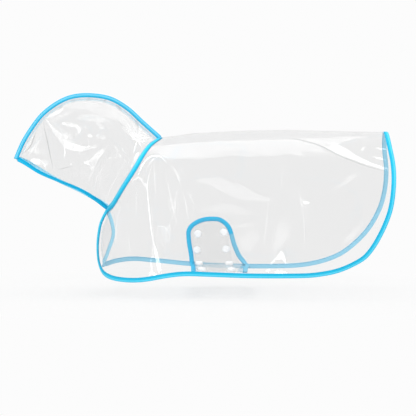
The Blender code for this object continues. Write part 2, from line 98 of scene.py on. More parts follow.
SPINE = [  # x, z
    (-62.0, -7.0), (-30.0, -2.4), (0.0, 0.5), (61.0, 3.6), (124.0, 5.0),
    (186.0, 3.6), (245.0, 2.3), (281.0, 2.0)]
NECK = [  # x, z, half_width
    (-62.0, -6.4, 0.0), (-67.6, -10.0, 16.0), (-77.2, -17.0, 32.0), (-86.9, -29.5, 46.0),
    (-98.8, -49.6, 56.0), (-115.7, -76.5, 50.0), (-129.6, -99.6, 32.0)]
FRONT_LEFT = [
    (-140.0, -113.0, 7.0), (-149.9, -133.0, 0.0), (-153.9, -153.5, 0.0), (-154.9, -173.0, 0.0),
    (-153.0, -194.0, 0.0), (-145.8, -209.8, 12.0)]
FRONT_RIGHT = [
    (-138.0, -113.5, 4.0), (-147.0, -133.0, 0.0), (-150.5, -153.5, 0.0), (-151.5, -173.0, 0.0),
    (-149.6, -187.0, 0.0), (-143.0, -199.0, 4.0)]
HEM_LEFT = [  # x, z
    (-145.8, -209.8), (-131.5, -216.5), (-103.0, -217.7), (-79.0, -215.0), (-51.0, -209.2),
    (-23.0, -206.0), (15.0, -207.0), (73.0, -208.9), (147.0, -208.9), (172.0, -207.4),
    (203.0, -201.4), (229.5, -190.0)]
HEM_RIGHT = [
    (-143.0, -199.0), (-130.0, -196.8), (-110.0, -195.4), (-93.0, -196.6), (-77.0, -199.2),
    (-16.0, -206.0), (55.0, -209.4), (127.0, -209.4), (162.0, -207.0), (196.0, -199.0), (223.5, -186.0)]
TAIL_LEFT = [  # x, z, half_width
    (281.8, 2.0, 0.0), (282.4, -4.0, 21.0), (284.2, -18.0, 43.0), (287.8, -45.0, 66.0),
    (287.2, -76.0, 83.0), (281.0, -113.0, 90.0), (264.5, -151.7, 90.0), (246.0, -178.8, 89.0),
    (229.5, -190.0, 88.0)]
TAIL_RIGHT = [
    (281.8, 2.0, 0.0), (281.6, -5.0, 21.0), (283.0, -25.0, 44.0), (287.4, -57.5, 66.0),
    (286.3, -90.0, 84.0), (278.0, -121.0, 90.0), (257.2, -155.6, 90.0), (223.5, -186.0, 88.0)]
OVERLAP = [  # share of the way down the right front, reach of its wing past centre front
    (0.0, 0.0), (0.08, 0.021), (0.21, 0.044), (0.34, 0.057), (0.48, 0.056), (0.61, 0.047),
    (0.77, 0.035), (0.90, 0.016), (1.0, 0.003)]

CROWN = [  # x, z of the hood's upper seam, from the tip to the nape
    (-278.0, -37.6), (-267.0, -12.4), (-253.0, 10.2), (-237.4, 29.8), (-215.0, 47.0),
    (-192.0, 56.9), (-164.4, 59.2), (-133.7, 54.2), (-107.4, 39.2), (-83.2, 17.2), (-58.4, -5.0)]
FACE_LEFT = [  # x, z, half_width, from below the tip to the throat
    (-273.2, -41.4, 0.4), (-270.2, -42.4, 5.0), (-261.6, -46.2, 15.0), (-238.8, -58.9, 30.0),
    (-212.8, -69.4, 40.0), (-178.8, -83.8, 42.0), (-157.5, -98.2, 29.0), (-143.2, -110.8, 12.0)]
FACE_RIGHT = [
    (-273.2, -41.4, 0.4), (-270.2, -42.0, 5.0), (-262.0, -45.6, 15.0), (-241.4, -58.6, 30.0),
    (-218.2, -72.8, 38.0), (-182.0, -90.2, 40.0), (-157.0, -103.4, 28.0), (-142.2, -111.8, 12.0)]

STRAP_PATH = [  # y, z
    (-87.3, -201.2), (-60.0, -201.8), (0.0, -202.6), (50.0, -203.2), (74.6, -203.2), (82.2, -200.6),
    (86.2, -194.0), (86.8, -186.0), (86.8, -160.0), (86.8, -131.0)]
STRAP_EDGES = [  # share of the path, left edge x, right edge x
    (0.0, -12.0, 69.0), (0.45, -13.0, 72.0), (0.66, -14.5, 75.0), (0.72, -15.8, 69.5),
    (0.76, -16.6, 61.6), (0.83, -19.8, 54.6), (0.905, -21.2, 50.0), (0.935, -18.8, 47.2),
    (0.955, -14.6, 44.2), (0.972, -9.0, 40.0), (0.986, -2.4, 35.4), (0.996, 5.0, 30.4),
    (1.0, 11.0, 26.0)]
ARCH_START = 0.905
STRAP_ROWS, ARCH_ROWS, STRAP_COLUMNS = 90, 22, 40
STRAP_PAINTED_VEIL = [(0.585, 1.0)]  # stretch of its tape under a second layer of film, painted paler for that film's veil
STRAP_BEND = -195.0          # height above which the strap turns upright
REINFORCEMENT_INSET = 7.2    # from the strap's edge
REINFORCEMENT_WIDTH = 57.0
REINFORCEMENT_ENDS = (0.03, 0.984)     # shares of the strap's path
REINFORCEMENT_LIFT = 0.8
REINFORCEMENT_ROWS, REINFORCEMENT_COLUMNS = 130, 24

SNAP_RADIUS = 6.0
SNAP_HEIGHT = 5.0
STRAP_SNAPS = [  # share of the strap's path, x
    (0.893, -3.4), (0.902, 36.4), (0.789, -4.9), (0.795, 39.6),
    (0.640, -1.8), (0.640, 44.2), (0.075, 3.2), (0.075, 46.6)]
FASTENED_SNAPS = 4           # of these, the number that hold to the right side
STRAP_CAP_LIFT = 1.1         # seats of the caps over the strap's and the side's middle surfaces
SIDE_CAP_LIFT = 0.4

# Main folds: soft ridges (height > 0) and troughs, along a line in side view
FOLDS = [  # side, x1, z1, x2, z2, width, height
    (-1, -84.0, -52.0, -58.0, -200.0, 13.0, 1.6),
    (-1, -66.0, -70.0, -40.0, -190.0, 13.0, -1.2),
    (-1, -100.0, -95.0, -88.0, -205.0, 13.0, -1.2),
    (-1, 120.0, -8.0, 275.0, -55.0, 12.0, 2.2),
    (-1, 156.0, -70.0, 160.0, -150.0, 14.0, 1.2),
    (-1, 60.0, -60.0, 150.0, -78.0, 13.0, -1.6),
    (-1, 104.0, -200.0, 122.0, -165.0, 11.0, 1.6),
    (1, -86.0, -56.0, -64.0, -185.0, 12.0, 3.6),
    (1, -60.0, -70.0, -44.0, -170.0, 12.0, -2.6),
    (1, 130.0, -10.0, 272.0, -62.0, 12.0, 2.4),
    (1, 120.0, -70.0, 170.0, -150.0, 14.0, -2.2)]
HOOD_FOLDS = [
    (-1, -238.0, 22.0, -214.0, -66.0, 9.0, 1.8),
    (-1, -200.0, 20.0, -160.0, -62.0, 13.0, -1.6),
    (-1, -118.0, 24.0, -132.0, -80.0, 12.0, 1.4),
    (1, -234.0, 18.0, -206.0, -66.0, 9.0, 2.8),
    (1, -150.0, 20.0, -150.0, -76.0, 11.0, -2.4)]

# Fine creases pressed into the film: width, height, then points (x, z) in side view.
BODY_CREASES = [
    (2.2, 1.3, [(-74, -57), (-77, -72), (-73, -104), (-67, -145), (-61, -174), (-58, -197)]),
    (3.0, 1.2, [(-83, -46), (-77, -35), (-67, -30), (-57, -32), (-47, -40), (-38, -54)]),
    (2.4, -0.9, [(-80, -41), (-77, -62), (-79, -88)]),
    (2.2, 0.8, [(-72, -184), (-70, -195), (-70, -206)]),
    (2.4, 1.0, [(100, -196), (107, -185), (114, -174), (123, -167)]),
    (2.4, 1.1, [(123, -165), (126, -180), (129, -196)]),
    (2.0, -0.8, [(107, -196), (115, -182), (124, -194)]),
    (2.8, 1.7, [(117, -3), (148, -10), (174, -17), (201, -28), (223, -38), (251, -47), (280, -52)]),
    (3.2, -1.1, [(122, -6), (131, -20), (151, -28), (196, -31)]),
    (2.6, 0.8, [(210, -18), (231, -11), (250, -4)]),
    (3.0, 0.5, [(146, -44), (151, -95), (156, -160)]),
    (2.0, 0.7, [(157, -98), (166, -99)]),
    (2.6, 0.5, [(-52, -46), (-46, -96), (-44, -150)]),
    (2.6, -0.5, [(-34, -52), (-30, -110), (-30, -170)]),
    (2.6, 0.45, [(-14, -60), (-12, -120), (-14, -180)]),
    (2.6, 0.6, [(-118, -92), (-108, -130), (-104, -178)]),
    (2.4, -0.5, [(-96, -62), (-98, -110), (-92, -160)]),
    (2.2, 0.6, [(246, -60), (238, -110), (214, -160)]),
    (2.2, 0.45, [(30, -14), (62, -24), (96, -22)]),
    (2.4, -0.5, [(-30, -16), (4, -22), (44, -20)])]
HOOD_CREASES = [
    (2.0, -1.3, [(-234, 26), (-228, -1), (-221, -31), (-213, -64)]),
    (2.6, 1.6, [(-232, 24), (-220, 8), (-206, -5), (-192, -16), (-171, -20), (-148, -17)]),
    (3.0, 1.0, [(-230, 24), (-209, 11), (-189, 9), (-165, 0), (-146, -11)]),
    (3.0, 1.3, [(-142, -18), (-152, -32), (-162, -52)]),
    (2.0, 1.1, [(-93, -9), (-107, -3), (-124, 1)]),
    (2.0, -1.0, [(-93, -9), (-101, -21), (-114, -34)]),
    (2.0, 1.1, [(-93, -9), (-88, -21), (-86, -34)]),
    (2.0, -0.9, [(-93, -9), (-96, 3), (-103, 16)]),
    (1.8, 1.0, [(-93, -9), (-83, -8), (-73, -6)]),
    (2.2, 0.9, [(-262, -6), (-259, -24), (-250, -36), (-240, -50)]),
    (2.2, -1.0, [(-248, 6), (-239, -21), (-230, -39), (-222, -56)]),
    (2.0, 0.8, [(-254, 0), (-251, -18), (-235, -44)]),
    (2.4, 0.6, [(-174, -42), (-158, -65), (-144, -90)]),
    (2.2, -0.6, [(-146, -34), (-146, -62), (-142, -92)]),
    (2.2, 0.7, [(-121, -36), (-129, -62), (-136, -94)]),
    (2.2, 0.5, [(-103, -41), (-115, -62), (-127, -88)]),
    (2.4, 0.8, [(-190, -34), (-184, -44), (-186, -54)])]
GATHERS = [  # centre x, z of each small pucker under the crown tape
    (-222, 27), (-209, 36), (-193, 41), (-176, 44), (-158, 43.5), (-140, 39), (-123, 30), (-108, 18)]
GATHER_REACH = 9.0

# Set creases: width, glint, shade, then points (x, z) in side view. Glint is a painted highlight: how much
# more the strip on the crease mirrors there, under panels that only these strips see. Shade is painted shade:
# how much light the strip holds back.
BODY_LINES = [
    # the long crease down the chest, the short one at its foot and the shoulder's arch, with painted
    # highlights
    (1.9, 1.0, 0.0, [(-70, -36), (-73, -54), (-77, -70), (-76, -95), (-73, -124), (-69, -151), (-64, -176),
                     (-60, -190)]),
    (1.6, 0.6, 0.0, [(-72, -177), (-71, -192), (-69, -205)]),
    (2.8, 1.8, 0.0, [(-92, -63), (-85, -46), (-77, -36), (-69, -32), (-58, -33), (-48, -42)]),
    # faint pleats that fan down the chest, with faint painted highlights
    (3.4, 0.26, 0.0, [(-51, -48), (-45, -80), (-36, -117), (-32, -145)]),
    (3.0, 0.26, 0.0, [(-29, -72), (-20, -102), (-17, -130)]),
    (3.4, 0.24, 0.0, [(-22, -75), (-11, -95), (-8, -116)]),
    (4.2, 0.24, 0.0, [(-68, -42), (-66, -72), (-63, -95)]),
    (5.0, 0.30, 0.0, [(-44, -44), (-33, -57), (-28, -76)]),
    (3.4, 0.20, 0.0, [(-92, -63), (-94, -103), (-95, -140)]),
    (3.8, 0.22, 0.0, [(-116, -99), (-122, -128), (-126, -170)]),
    (3.6, 0.22, 0.0, [(-105, -147), (-102, -187)]),
    # faint falls of the side, with faint painted highlights
    (2.6, 0.24, 0.0, [(119, -39), (120, -73), (117, -92)]),
    (2.4, 0.25, 0.0, [(141, -66), (148, -95), (153, -139), (151, -186)]),
    (2.0, 0.20, 0.0, [(145, -69), (154, -102), (157, -146)]),
    (3.0, 0.18, 0.0, [(100, -92), (97, -132), (91, -176)]),
    # painted shade along the lip of the rump's fold, and painted glints at the tail and over the strap
    (1.8, 0.0, 0.22, [(124, -5), (137, -7), (162, -12), (180, -18), (199, -28), (218, -36), (239, -42)]),
    (1.6, 0.0, 0.16, [(196, -27), (222, -38), (250, -48), (277, -55)]),
    (1.8, 0.8, 0.0, [(236, -26), (245, -17)]),
    (3.0, 0.9, 0.0, [(259, -20), (277, -23)]),
    (3.4, 0.8, 0.0, [(254, -32), (274, -38)]),
    (2.0, 0.30, 0.0, [(41, -142), (34, -154), (24, -165)])]
HOOD_LINES = [
    # painted dark lines of shade near the hood's tip
    (1.0, 0.0, 0.34, [(-234, 24), (-231, 9), (-225, -12), (-220, -36), (-214, -59)]),
    (1.6, 0.0, 0.30, [(-244, 7), (-247, -6), (-253, -20), (-265, -30)]),
    (1.2, 0.0, 0.14, [(-210, -52), (-198, -49), (-186, -46)]),
    # faint pulls towards the throat, with painted highlights
    (2.0, 0.30, 0.0, [(-109, -35), (-122, -61), (-133, -82), (-142, -98)]),
    (3.0, 0.24, 0.0, [(-137, -39), (-149, -60), (-159, -84)]),
    (3.4, 0.20, 0.0, [(-153, -47), (-168, -72)]),
    (2.6, 0.24, 0.0, [(-142, -52), (-150, -79)]),
    (1.6, 0.35, 0.0, [(-143, -33), (-129, -34), (-110, -30)]),
    (1.4, 0.30, 0.0, [(-141, -27), (-137, -17), (-128, -14)]),
    # the star of painted glints where the film is crumpled at the nape
    (1.6, 0.60, 0.0, [(-93, -8), (-106, 3), (-119, 18)]),
    (1.4, 0.50, 0.0, [(-93, -8), (-102, -3), (-112, 6), (-118, 12)]),
    (2.6, 1.0, 0.0, [(-103, -7), (-93, -9), (-86, -20)]),
    (2.8, 0.9, 0.0, [(-95, -9), (-83, -6), (-71, -4)]),
    (1.8, 0.8, 0.0, [(-93, -9), (-90, 2), (-84, 11)]),
    (2.2, 1.0, 0.0, [(-92, -6), (-96, -20), (-99, -30)]),
    (2.0, 0.8, 0.0, [(-94, -10), (-80, -12)]),
    # painted glints over the brim
    (2.0, 0.8, 0.0, [(-234, -39), (-229, -48), (-228, -57)]),
    (2.0, 0.3, 0.0, [(-256, -24), (-243, -20), (-235, -29)]),
    # painted shade at the puckers under the crown tape
    (6.0, 0.0, 0.07, [(-211, 35), (-203, 43)]),
    (6.0, 0.0, 0.08, [(-193, 46), (-184, 50)]),
    (5.5, 0.0, 0.10, [(-171, 48), (-163, 52)]),
    (5.0, 0.0, 0.09, [(-145, 45), (-140, 51)]),
    (6.0, 0.0, 0.10, [(-125, 43), (-116, 33)]),
    (7.0, 0.0, 0.08, [(-97, 24), (-92, 6)]),
    (1.4, 0.0, 0.12, [(-123, 22), (-112, 10), (-102, -2)])]
# Patches of painted highlight, as flat strips of film on the side: glint, rim (0 crisp, 1 fading), then pairs
# of opposite rim points (xa, za, xb, zb).
BODY_PAINTED_GLINTS = [
    # painted highlights at the foot of the long crease
    (0.95, 0, [(-67, -163, -65, -161), (-66, -177, -61, -176), (-64, -188, -57, -191), (-62, -195, -57, -194),
               (-61, -202, -59, -202)]),
    (0.90, 0, [(-72, -201, -69, -200), (-69, -206, -64, -204), (-62, -207, -58, -205)]),
    # painted sheen along the back, over the back panel's reflection, and a painted blade over the rump
    (0.05, 0, [(-80, -28, -80, -17), (-66, -34, -63, -13), (-47, -37, -37, -13), (-15, -35, -7, -11),
               (9, -34, 12, -10), (19, -28, 22, -9), (56, -23, 56, -7), (92, -30, 92, -5),
               (106, -30, 106, -5), (124, -17, 124, -5), (138, -32, 138, -7), (166, -34, 157, -11),
               (192, -34, 177, -19), (216, -38, 201, -30)]),
    (0.09, 1, [(-73, -32, -73, -23), (-56, -35, -50, -21), (-37, -38, -22, -20), (-7, -35, 0, -20),
               (18, -27, 21, -20)]),
    (0.26, 0, [(145, -9, 145, -6), (166, -13, 166, -6), (181, -18, 181, -6), (194, -24, 194, -5),
               (204, -15, 204, -4), (216, -11, 216, -4), (233, -7, 233, -4), (249, -6, 249, -4)]),
    (0.50, 0, [(192, -23, 196, -12), (203, -29, 209, -17), (215, -34, 218, -22), (227, -38, 230, -30),
               (242, -43, 245, -38), (259, -48, 261, -44), (277, -53, 277, -49)]),
    # painted glints on the dented hem, and a painted spark at mid side
    (0.85, 0, [(103, -190, 104, -186), (107, -188, 112, -178), (113, -183, 119, -169), (120, -182, 124, -176),
               (126, -190, 128, -189)]),
    (0.60, 0, [(95, -201, 97, -198), (98, -200, 101, -195), (101, -202, 103, -199)]),
    (0.70, 0, [(109, -203, 110, -199), (118, -204, 119, -198), (126, -203, 128, -201)]),
    (0.90, 0, [(151, -101, 151, -96), (155, -101, 155, -96), (161, -99, 161, -98)]),
    # faint painted highlights in flat patches of the side
    (0.18, 0, [(-4, -68, -4, -65), (15, -74, 9, -63), (32, -82, 28, -61), (49, -91, 44, -68),
               (68, -96, 63, -73), (91, -97, 82, -85), (106, -96, 103, -91)]),
    (0.12, 0, [(0, -113, 3, -107), (27, -113, 32, -100), (52, -116, 59, -104), (74, -118, 74, -114)]),
    (0.13, 0, [(49, -138, 49, -133), (63, -136, 71, -128), (79, -133, 82, -130)]),
    (0.14, 0, [(57, -154, 62, -148), (63, -168, 76, -140), (76, -168, 85, -143), (84, -154, 87, -148)]),
    (0.22, 1, [(100, -188, 106, -186), (103, -165, 118, -168), (106, -146, 134, -151),
               (109, -130, 135, -129), (122, -121, 128, -121)]),
    (0.20, 1, [(190, -83, 196, -77), (202, -80, 220, -60), (212, -74, 234, -54), (223, -66, 237, -57)]),
    (0.22, 1, [(205, -165, 208, -154), (223, -154, 229, -133), (238, -136, 243, -118)]),
    (0.13, 0, [(-58, -136, -54, -133), (-55, -154, -41, -136), (-50, -163, -44, -154)])]
HOOD_PAINTED_GLINTS = [
    # painted blade of light across the cheek, and painted highlights round it
    (0.46, 0, [(-232, 23, -230, 24), (-224, 14, -218, 12), (-216, 2, -207, 3), (-207, -10, -196, -2),
               (-198, -20, -193, -10), (-188, -24, -180, -14), (-175, -24, -172, -17),
               (-168, -22, -166, -18)]),
    (0.35, 0, [(-186, -24, -184, -14), (-171, -24, -170, -17), (-151, -19, -150, -15)]),
    (0.55, 0, [(-142, -19, -141, -23), (-152, -27, -143, -29), (-161, -36, -150, -38), (-166, -38, -154, -45),
               (-162, -47, -157, -51), (-161, -52, -159, -52)]),
    (0.70, 0, [(-171, -39, -170, -44), (-165, -38, -162, -44)]),
    (0.24, 0, [(-205, 15, -205, 17), (-195, 11, -195, 18), (-183, 12, -183, 15)]),
    (0.42, 0, [(-184, 14, -182, 16), (-180, 6, -174, 9), (-179, 2, -175, 2)]),
    (0.60, 0, [(-165, -3, -165, -1), (-161, -4, -161, 1), (-157, -5, -158, -2)]),
    (0.22, 0, [(-153, -4, -152, 2), (-144, -7, -143, -1), (-138, -6, -138, -4)]),
    (0.20, 0, [(-153, 17, -152, 20), (-147, 9, -143, 12), (-142, 8, -140, 9)]),
    (0.20, 0, [(-183, 23, -177, 28), (-168, 20, -162, 31), (-150, 18, -144, 27), (-137, 20, -137, 21)]),
    (0.90, 0, [(-191, -45, -191, -42), (-188, -45, -188, -42)]),
    # painted sheen under the crown
    (0.16, 0, [(-205, 40, -206, 43), (-190, 38, -190, 48), (-178, 38, -178, 52), (-166, 35, -166, 52),
               (-153, 29, -151, 52), (-137, 24, -134, 47), (-122, 18, -114, 34), (-108, 4, -98, 19),
               (-98, -8, -83, 5), (-83, -13, -74, -4)]),
    (0.50, 0, [(-232, 22, -230, 24), (-219, 25, -218, 32), (-208, 31, -210, 35), (-202, 35, -203, 41)]),
    # painted highlights near the tip, the nape and the throat
    (0.45, 0, [(-246, 1, -246, 8), (-252, -14, -254, -6), (-260, -24, -261, -20), (-264, -29, -265, -27)]),
    (0.70, 0, [(-253, -40, -251, -38), (-246, -45, -242, -36), (-238, -45, -235, -39)]),
    (0.22, 0, [(-256, -27, -256, -24), (-247, -28, -246, -20), (-237, -29, -238, -24)]),
    (0.70, 0, [(-102, -51, -100, -51), (-99, -38, -94, -38), (-94, -27, -89, -27)]),
    (0.10, 1, [(-192, -61, -183, -61), (-177, -52, -159, -64), (-165, -56, -148, -73)])]
CREASE_LIFT = 0.3            # middle of the creased strip over the middle of the film
CREASE_WALL = 0.1
CREASE_RISE = 0.15           # height of a crest for each millimetre of its width
CREASE_STEP = 1.5
CREASE_POWER = 0.6           # under 1, a crease keeps its width until close to its pointed ends
CREASE_TIP = 0.02            # share of a crease at each end that is as thin as its point
PATCH_STEP = 2.0
PRESS_SHARE = 0.25           # how far a set crease shapes the film round it
HIDDEN_SHIFT = (7.0, -5.0)   # the hidden side creases alike, a little away
PAINTED_GLINT_MIRROR = 0.06         # painted highlight: share of the light that a strip with a glint of 1 mirrors
RIM_PULLS = (0.0, 1.0, 2.0, 3.5, 5.0)  # a crease past the film's rim is drawn in, by 5 mm at most
WELL_OUTSIDE = 300.0         # clear of the coat on either side
FEWEST_ROWS = 3              # a crease with fewer rows on the film is left out
BODY_MIDDLE, HOOD_MIDDLE = Vector((60.0, -100.0)), Vector((-165.0, -15.0))
WOBBLE = 0.35                # slight unevenness of the whole film
WOBBLE_SIZE = 24.0

# Finishes. Scales of patterns are in cells per metre, as materials read metres.
FILM_WAVES = 38.0                      # soft waves about 26 mm long
FILM_STREAKS = (120.0, 40.0, 14.0)     # drawing streaks about 8 mm apart and 70 mm long
CREASE_GRAIN = 160.0                   # unevenness of the painted glints, about 6 mm across
FILM_MIRROR_RISE = 0.40                # how much more of the light it mirrors at a glancing view
FILM_MIRROR_POWER = 4.0
TAPE_RIBS = 0.55                       # ribs tau / (20 x 0.55) = 0.57 mm apart, as its map reads millimetres
TAPE_MOTTLE = 0.7                      # uneven dye about 1.4 mm across, on the same map
FINE_GRAIN = 900.0                     # about 1 mm, drawn coarse enough to show
HIGHLIGHT_LINE_PLACE = 0.62                    # of the tape's width, where its painted highlight runs as a lighter line
FILM_MILK = "#f2f2f2"                  # the film's haze
CREASE_PAINTED_SHADE_GREY = "#a8a9ab"                # painted shade: what passes where a strip's shade is full, for the dark lines at the folds


def smooth(value):
    """Ease from 0 to 1."""
    value = min(max(value, 0.0), 1.0)
    return value * value * (3.0 - 2.0 * value)


def mix(a, b, share):
    """Part of the way from a to b."""
    return a * (1.0 - share) + b * share


def table_value(rows, position):
    """The other columns of a table at a position of its first column."""
    for low, high in zip(rows, rows[1:]):
        if position <= high[0]:
            share = (position - low[0]) / (high[0] - low[0])
            return Vector(low[1:]).lerp(Vector(high[1:]), share)
    return Vector(rows[-1][1:])


def hermite(a, b, slope_a, slope_b, span, f):
    """A place at share f of a span from a to b, on a smooth curve with the given slopes at its ends."""
    return (a * (1 + 2 * f) * (1 - f) ** 2 + b * f * f * (3 - 2 * f)
            + slope_a * (span * f * (1 - f) ** 2) - slope_b * (span * f * f * (1 - f)))


def length_marks(points):
    """The distance of each point of a line from its start, along it."""
    marks = [0.0]
    for a, b in zip(points, points[1:]):
        marks.append(marks[-1] + (b - a).length)
    return marks


def curve_value(rows, position):
    """Second column of a table at a position of its first, along a smooth curve."""
    last = len(rows) - 1

    def slope(k):
        """Slope at a row, from its two neighbours."""
        low, high = rows[max(k - 1, 0)], rows[min(k + 1, last)]
        return (high[1] - low[1]) / (high[0] - low[0])

    for k in range(last):
        (x1, y1), (x2, y2) = rows[k], rows[k + 1]
        if position <= x2:
            return hermite(y1, y2, slope(k), slope(k + 1), x2 - x1, (position - x1) / (x2 - x1))
    return rows[-1][1]


class Line:
    """A smooth line through the rows of a table, read by the share of its length.

    before and after are points past its two ends, which give the directions there."""

    def __init__(self, rows, before=None, after=None):
        self.points = [Vector(row) for row in rows]
        self.before, self.after = before, after
        self.marks = length_marks(self.points)
        self.length = self.marks[-1]

    def share_of_row(self, index):
        """The share of the length at which a row of the table lies."""
        return self.marks[index] / self.length

    def at(self, share):
        """The place at a share of the length."""
        distance = min(max(share, 0.0), 1.0) * self.length
        last = len(self.points) - 2
        index = min(sum(mark <= distance for mark in self.marks) - 1, last)
        span = self.marks[index + 1] - self.marks[index]
        return hermite(self.points[index], self.points[index + 1], self.slope(index), self.slope(index + 1),
                       span, (distance - self.marks[index]) / span)

    def slope(self, index):
        """Direction of the line at a row, a unit long for each unit of its length."""
        last = len(self.points) - 1
        if index == 0 and self.before is not None:
            gap = Vector(self.before) - self.points[0]
            return (self.points[1] - Vector(self.before)) / (self.marks[1] + gap.length)
        if index == last and self.after is not None:
            gap = Vector(self.after) - self.points[-1]
            return (Vector(self.after) - self.points[-2]) / (self.length - self.marks[-2] + gap.length)
        low, high = max(index - 1, 0), min(index + 1, last)
        return (self.points[high] - self.points[low]) / (self.marks[high] - self.marks[low])


class Side:
    """One side of the body: -1 is the left side, +1 the right."""

    def __init__(self, hand, front, hem, tail):
        self.hand = hand
        self.spine = Line(SPINE)
        self.front = Line(NECK + front, after=(*hem[1], BODY_HALF_WIDTH * 0.4))
        self.hem = Line(hem, before=front[-2][:2], after=tail[-2][:2])
        self.tail = Line(tail, after=(*hem[-2], BODY_HALF_WIDTH))
        self.throat = self.front.share_of_row(len(NECK))

    def point(self, along, around):
        """A point of the side: along from front to tail, around from spine to hem."""
        angle = min(around / SIDE_START, 1.0) * math.pi / 2
        drop = BACK_DROP * (1.0 - math.cos(angle))
        height = -self.hem.at(along)[1]
        if around > SIDE_START:
            drop += (height - BACK_DROP) * (around - SIDE_START) / (1.0 - SIDE_START)
        down = drop / height
        front, tail = self.front.at(around), self.tail.at(around)
        place = mix(self.spine.at(along), self.hem.at(along), down)
        place += (front.xy - mix(self.front.at(0).xy, self.front.at(1).xy, down)) * (1.0 - along)
        place += (tail.xy - mix(self.tail.at(0).xy, self.tail.at(1).xy, down)) * along
        spread = 1.0 - (1.0 - min(along / SHOULDER_SHARE, 1.0)) ** 2
        width = mix(front[2], BODY_HALF_WIDTH * math.sin(angle), spread)
        width = mix(width, tail[2], smooth(1.0 - (1.0 - along) / TAIL_SHARE))
        return Vector((place[0], self.hand * width, place[1]))

    def wing_point(self, along, around, outer):
        """A point of the right side, whose front runs on past centre front inside the outer side."""
        down = (around - self.throat) / (1.0 - self.throat)
        if down > 0.0:
            along -= curve_value(OVERLAP, down) * (1.0 - along) ** 3
        if along >= 0.0:
            return self.point(along, around)
        around = mix(outer.throat, WING_CORNER, down)
        step = 0.01
        here = outer.point(-along, around)
        across = outer.point(step - along, around) - here
        below = outer.point(-along, around + step) - outer.point(-along, around - step)
        inward = across.cross(below).normalized()
        if inward.y < 0.0:
            inward.negate()
        return here + inward * WING_INSET


def grid_normals(grid):
    """Unit normal at every point of a grid of points."""
    last_i, last_j = len(grid) - 1, len(grid[0]) - 1
    normals = []
    for i, row in enumerate(grid):
        normals.append([])
        for j in range(len(row)):
            across = grid[min(i + 1, last_i)][j] - grid[max(i - 1, 0)][j]
            along = row[min(j + 1, last_j)] - row[max(j - 1, 0)]
            normals[-1].append(across.cross(along).normalized())
    return normals


def turned_out(normal, hand):
    """A film's normal, turned to the outside of its side."""
    return normal if normal.y * hand > 0.0 else -normal


def fold_height(folds, hand, x, z):
    """Summed height of the folds of one side at a place in side view."""
    total = 0.0
    for side, x1, z1, x2, z2, width, height in folds:
        if side != hand:
            continue
        start, run = Vector((x1, z1)), Vector((x2 - x1, z2 - z1))
        share = (Vector((x, z)) - start).dot(run) / run.length_squared
        if 0.0 < share < 1.0:
            distance = (Vector((x, z)) - start - run * share).length
            total += height * math.exp(-(distance / width) ** 2) * math.sin(math.pi * share)
    return total


def add_folds(grid, folds, edge_fade):
    """Push the grid's points along its normals; edge_fade(i, j) is 0 at a bound edge."""
    normals = grid_normals(grid)
    for i, row in enumerate(grid):
        for j, point in enumerate(row):
            hand = -1 if point.y < 0 else 1
            outward = turned_out(normals[i][j], hand)
            row[j] = point + outward * fold_height(folds, hand, point.x, point.z) * edge_fade(i, j)


def crease_heights(creases, x, z):
    """Summed height of sharp creases at arrays of places in side view, fading at both their ends."""
    total = np.zeros_like(x)
    for width, height, points in creases:
        line = np.array(points, float)
        runs = np.linalg.norm(line[1:] - line[:-1], axis=1)
        marks = np.concatenate([[0.0], np.cumsum(runs)]) / runs.sum()
        best, share = np.full_like(x, 1e9), np.zeros_like(x)
        for k, (a, b) in enumerate(zip(line, line[1:])):
            step = b - a
            f = np.clip(((x - a[0]) * step[0] + (z - a[1]) * step[1]) / runs[k] ** 2, 0.0, 1.0)
            distance = np.hypot(x - a[0] - f * step[0], z - a[1] - f * step[1])
            nearer = distance < best
            best = np.where(nearer, distance, best)
            share = np.where(nearer, marks[k] + f * (marks[k + 1] - marks[k]), share)
        taper = np.sin(math.pi * np.clip(share, CREASE_TIP, 1.0 - CREASE_TIP)) ** CREASE_POWER
        total += height * np.exp(-best / width) * taper
    return total


def press_creases(grid, creases, edge_fade):
    """Press the fine creases and a slight unevenness into the grid, along its normals."""
    normals = grid_normals(grid)
    places = np.array([[tuple(point) for point in row] for row in grid])
    x, y, z = places[..., 0], places[..., 1], places[..., 2]
    shown = crease_heights(creases, x, z)
    hidden = crease_heights(creases, x - HIDDEN_SHIFT[0], z - HIDDEN_SHIFT[1])
    blend = np.clip(0.5 - y / 12.0, 0.0, 1.0)
    heights = (shown * blend + hidden * (1.0 - blend)) * PRESS_SHARE
    for i, row in enumerate(grid):
        for j, point in enumerate(row):
            outward = turned_out(normals[i][j], -1 if point.y < 0 else 1)
            uneven = noise.noise(point / WOBBLE_SIZE) * WOBBLE
            row[j] = point + outward * ((heights[i, j] + uneven) * edge_fade(i, j))


def relax(grid, weight, rounds):
    """Move the grid's inner points towards their neighbours' middle; weight(i, j) is 0 to 1."""
    for _ in range(rounds):
        before = [row[:] for row in grid]
        for i in range(1, len(grid) - 1):
            for j in range(1, len(grid[0]) - 1):
                share = weight(i, j)
                if share > 0.0:
                    middle = (before[i - 1][j] + before[i + 1][j] + before[i][j - 1] + before[i][j + 1]) / 4
                    grid[i][j] = before[i][j].lerp(middle, share)


# ---------------------------------------------------------------- materials

def linear(hex_colour):
    """An sRGB hex colour as linear RGBA."""
    values = [int(hex_colour[k:k + 2], 16) / 255 for k in (1, 3, 5)]
    return (*[v / 12.92 if v <= 0.04045 else ((v + 0.055) / 1.055) ** 2.4 for v in values], 1.0)


def add_node(tree, kind, settings=None, links=None):
    """A node with its settings (attributes or input values) and the sockets linked into it."""
    node = tree.nodes.new(kind)
    for name, value in (settings or {}).items():
        if isinstance(name, str) and hasattr(node, name):
            setattr(node, name, value)
        else:
            node.inputs[name].default_value = value
    for name, source in (links or {}).items():
        tree.links.new(source, node.inputs[name])
    return node


def new_material(name):
    """An empty material and its node tree."""
    made = bpy.data.materials.new(name)
    made.use_nodes = True
    made.node_tree.nodes.clear()
    return made, made.node_tree


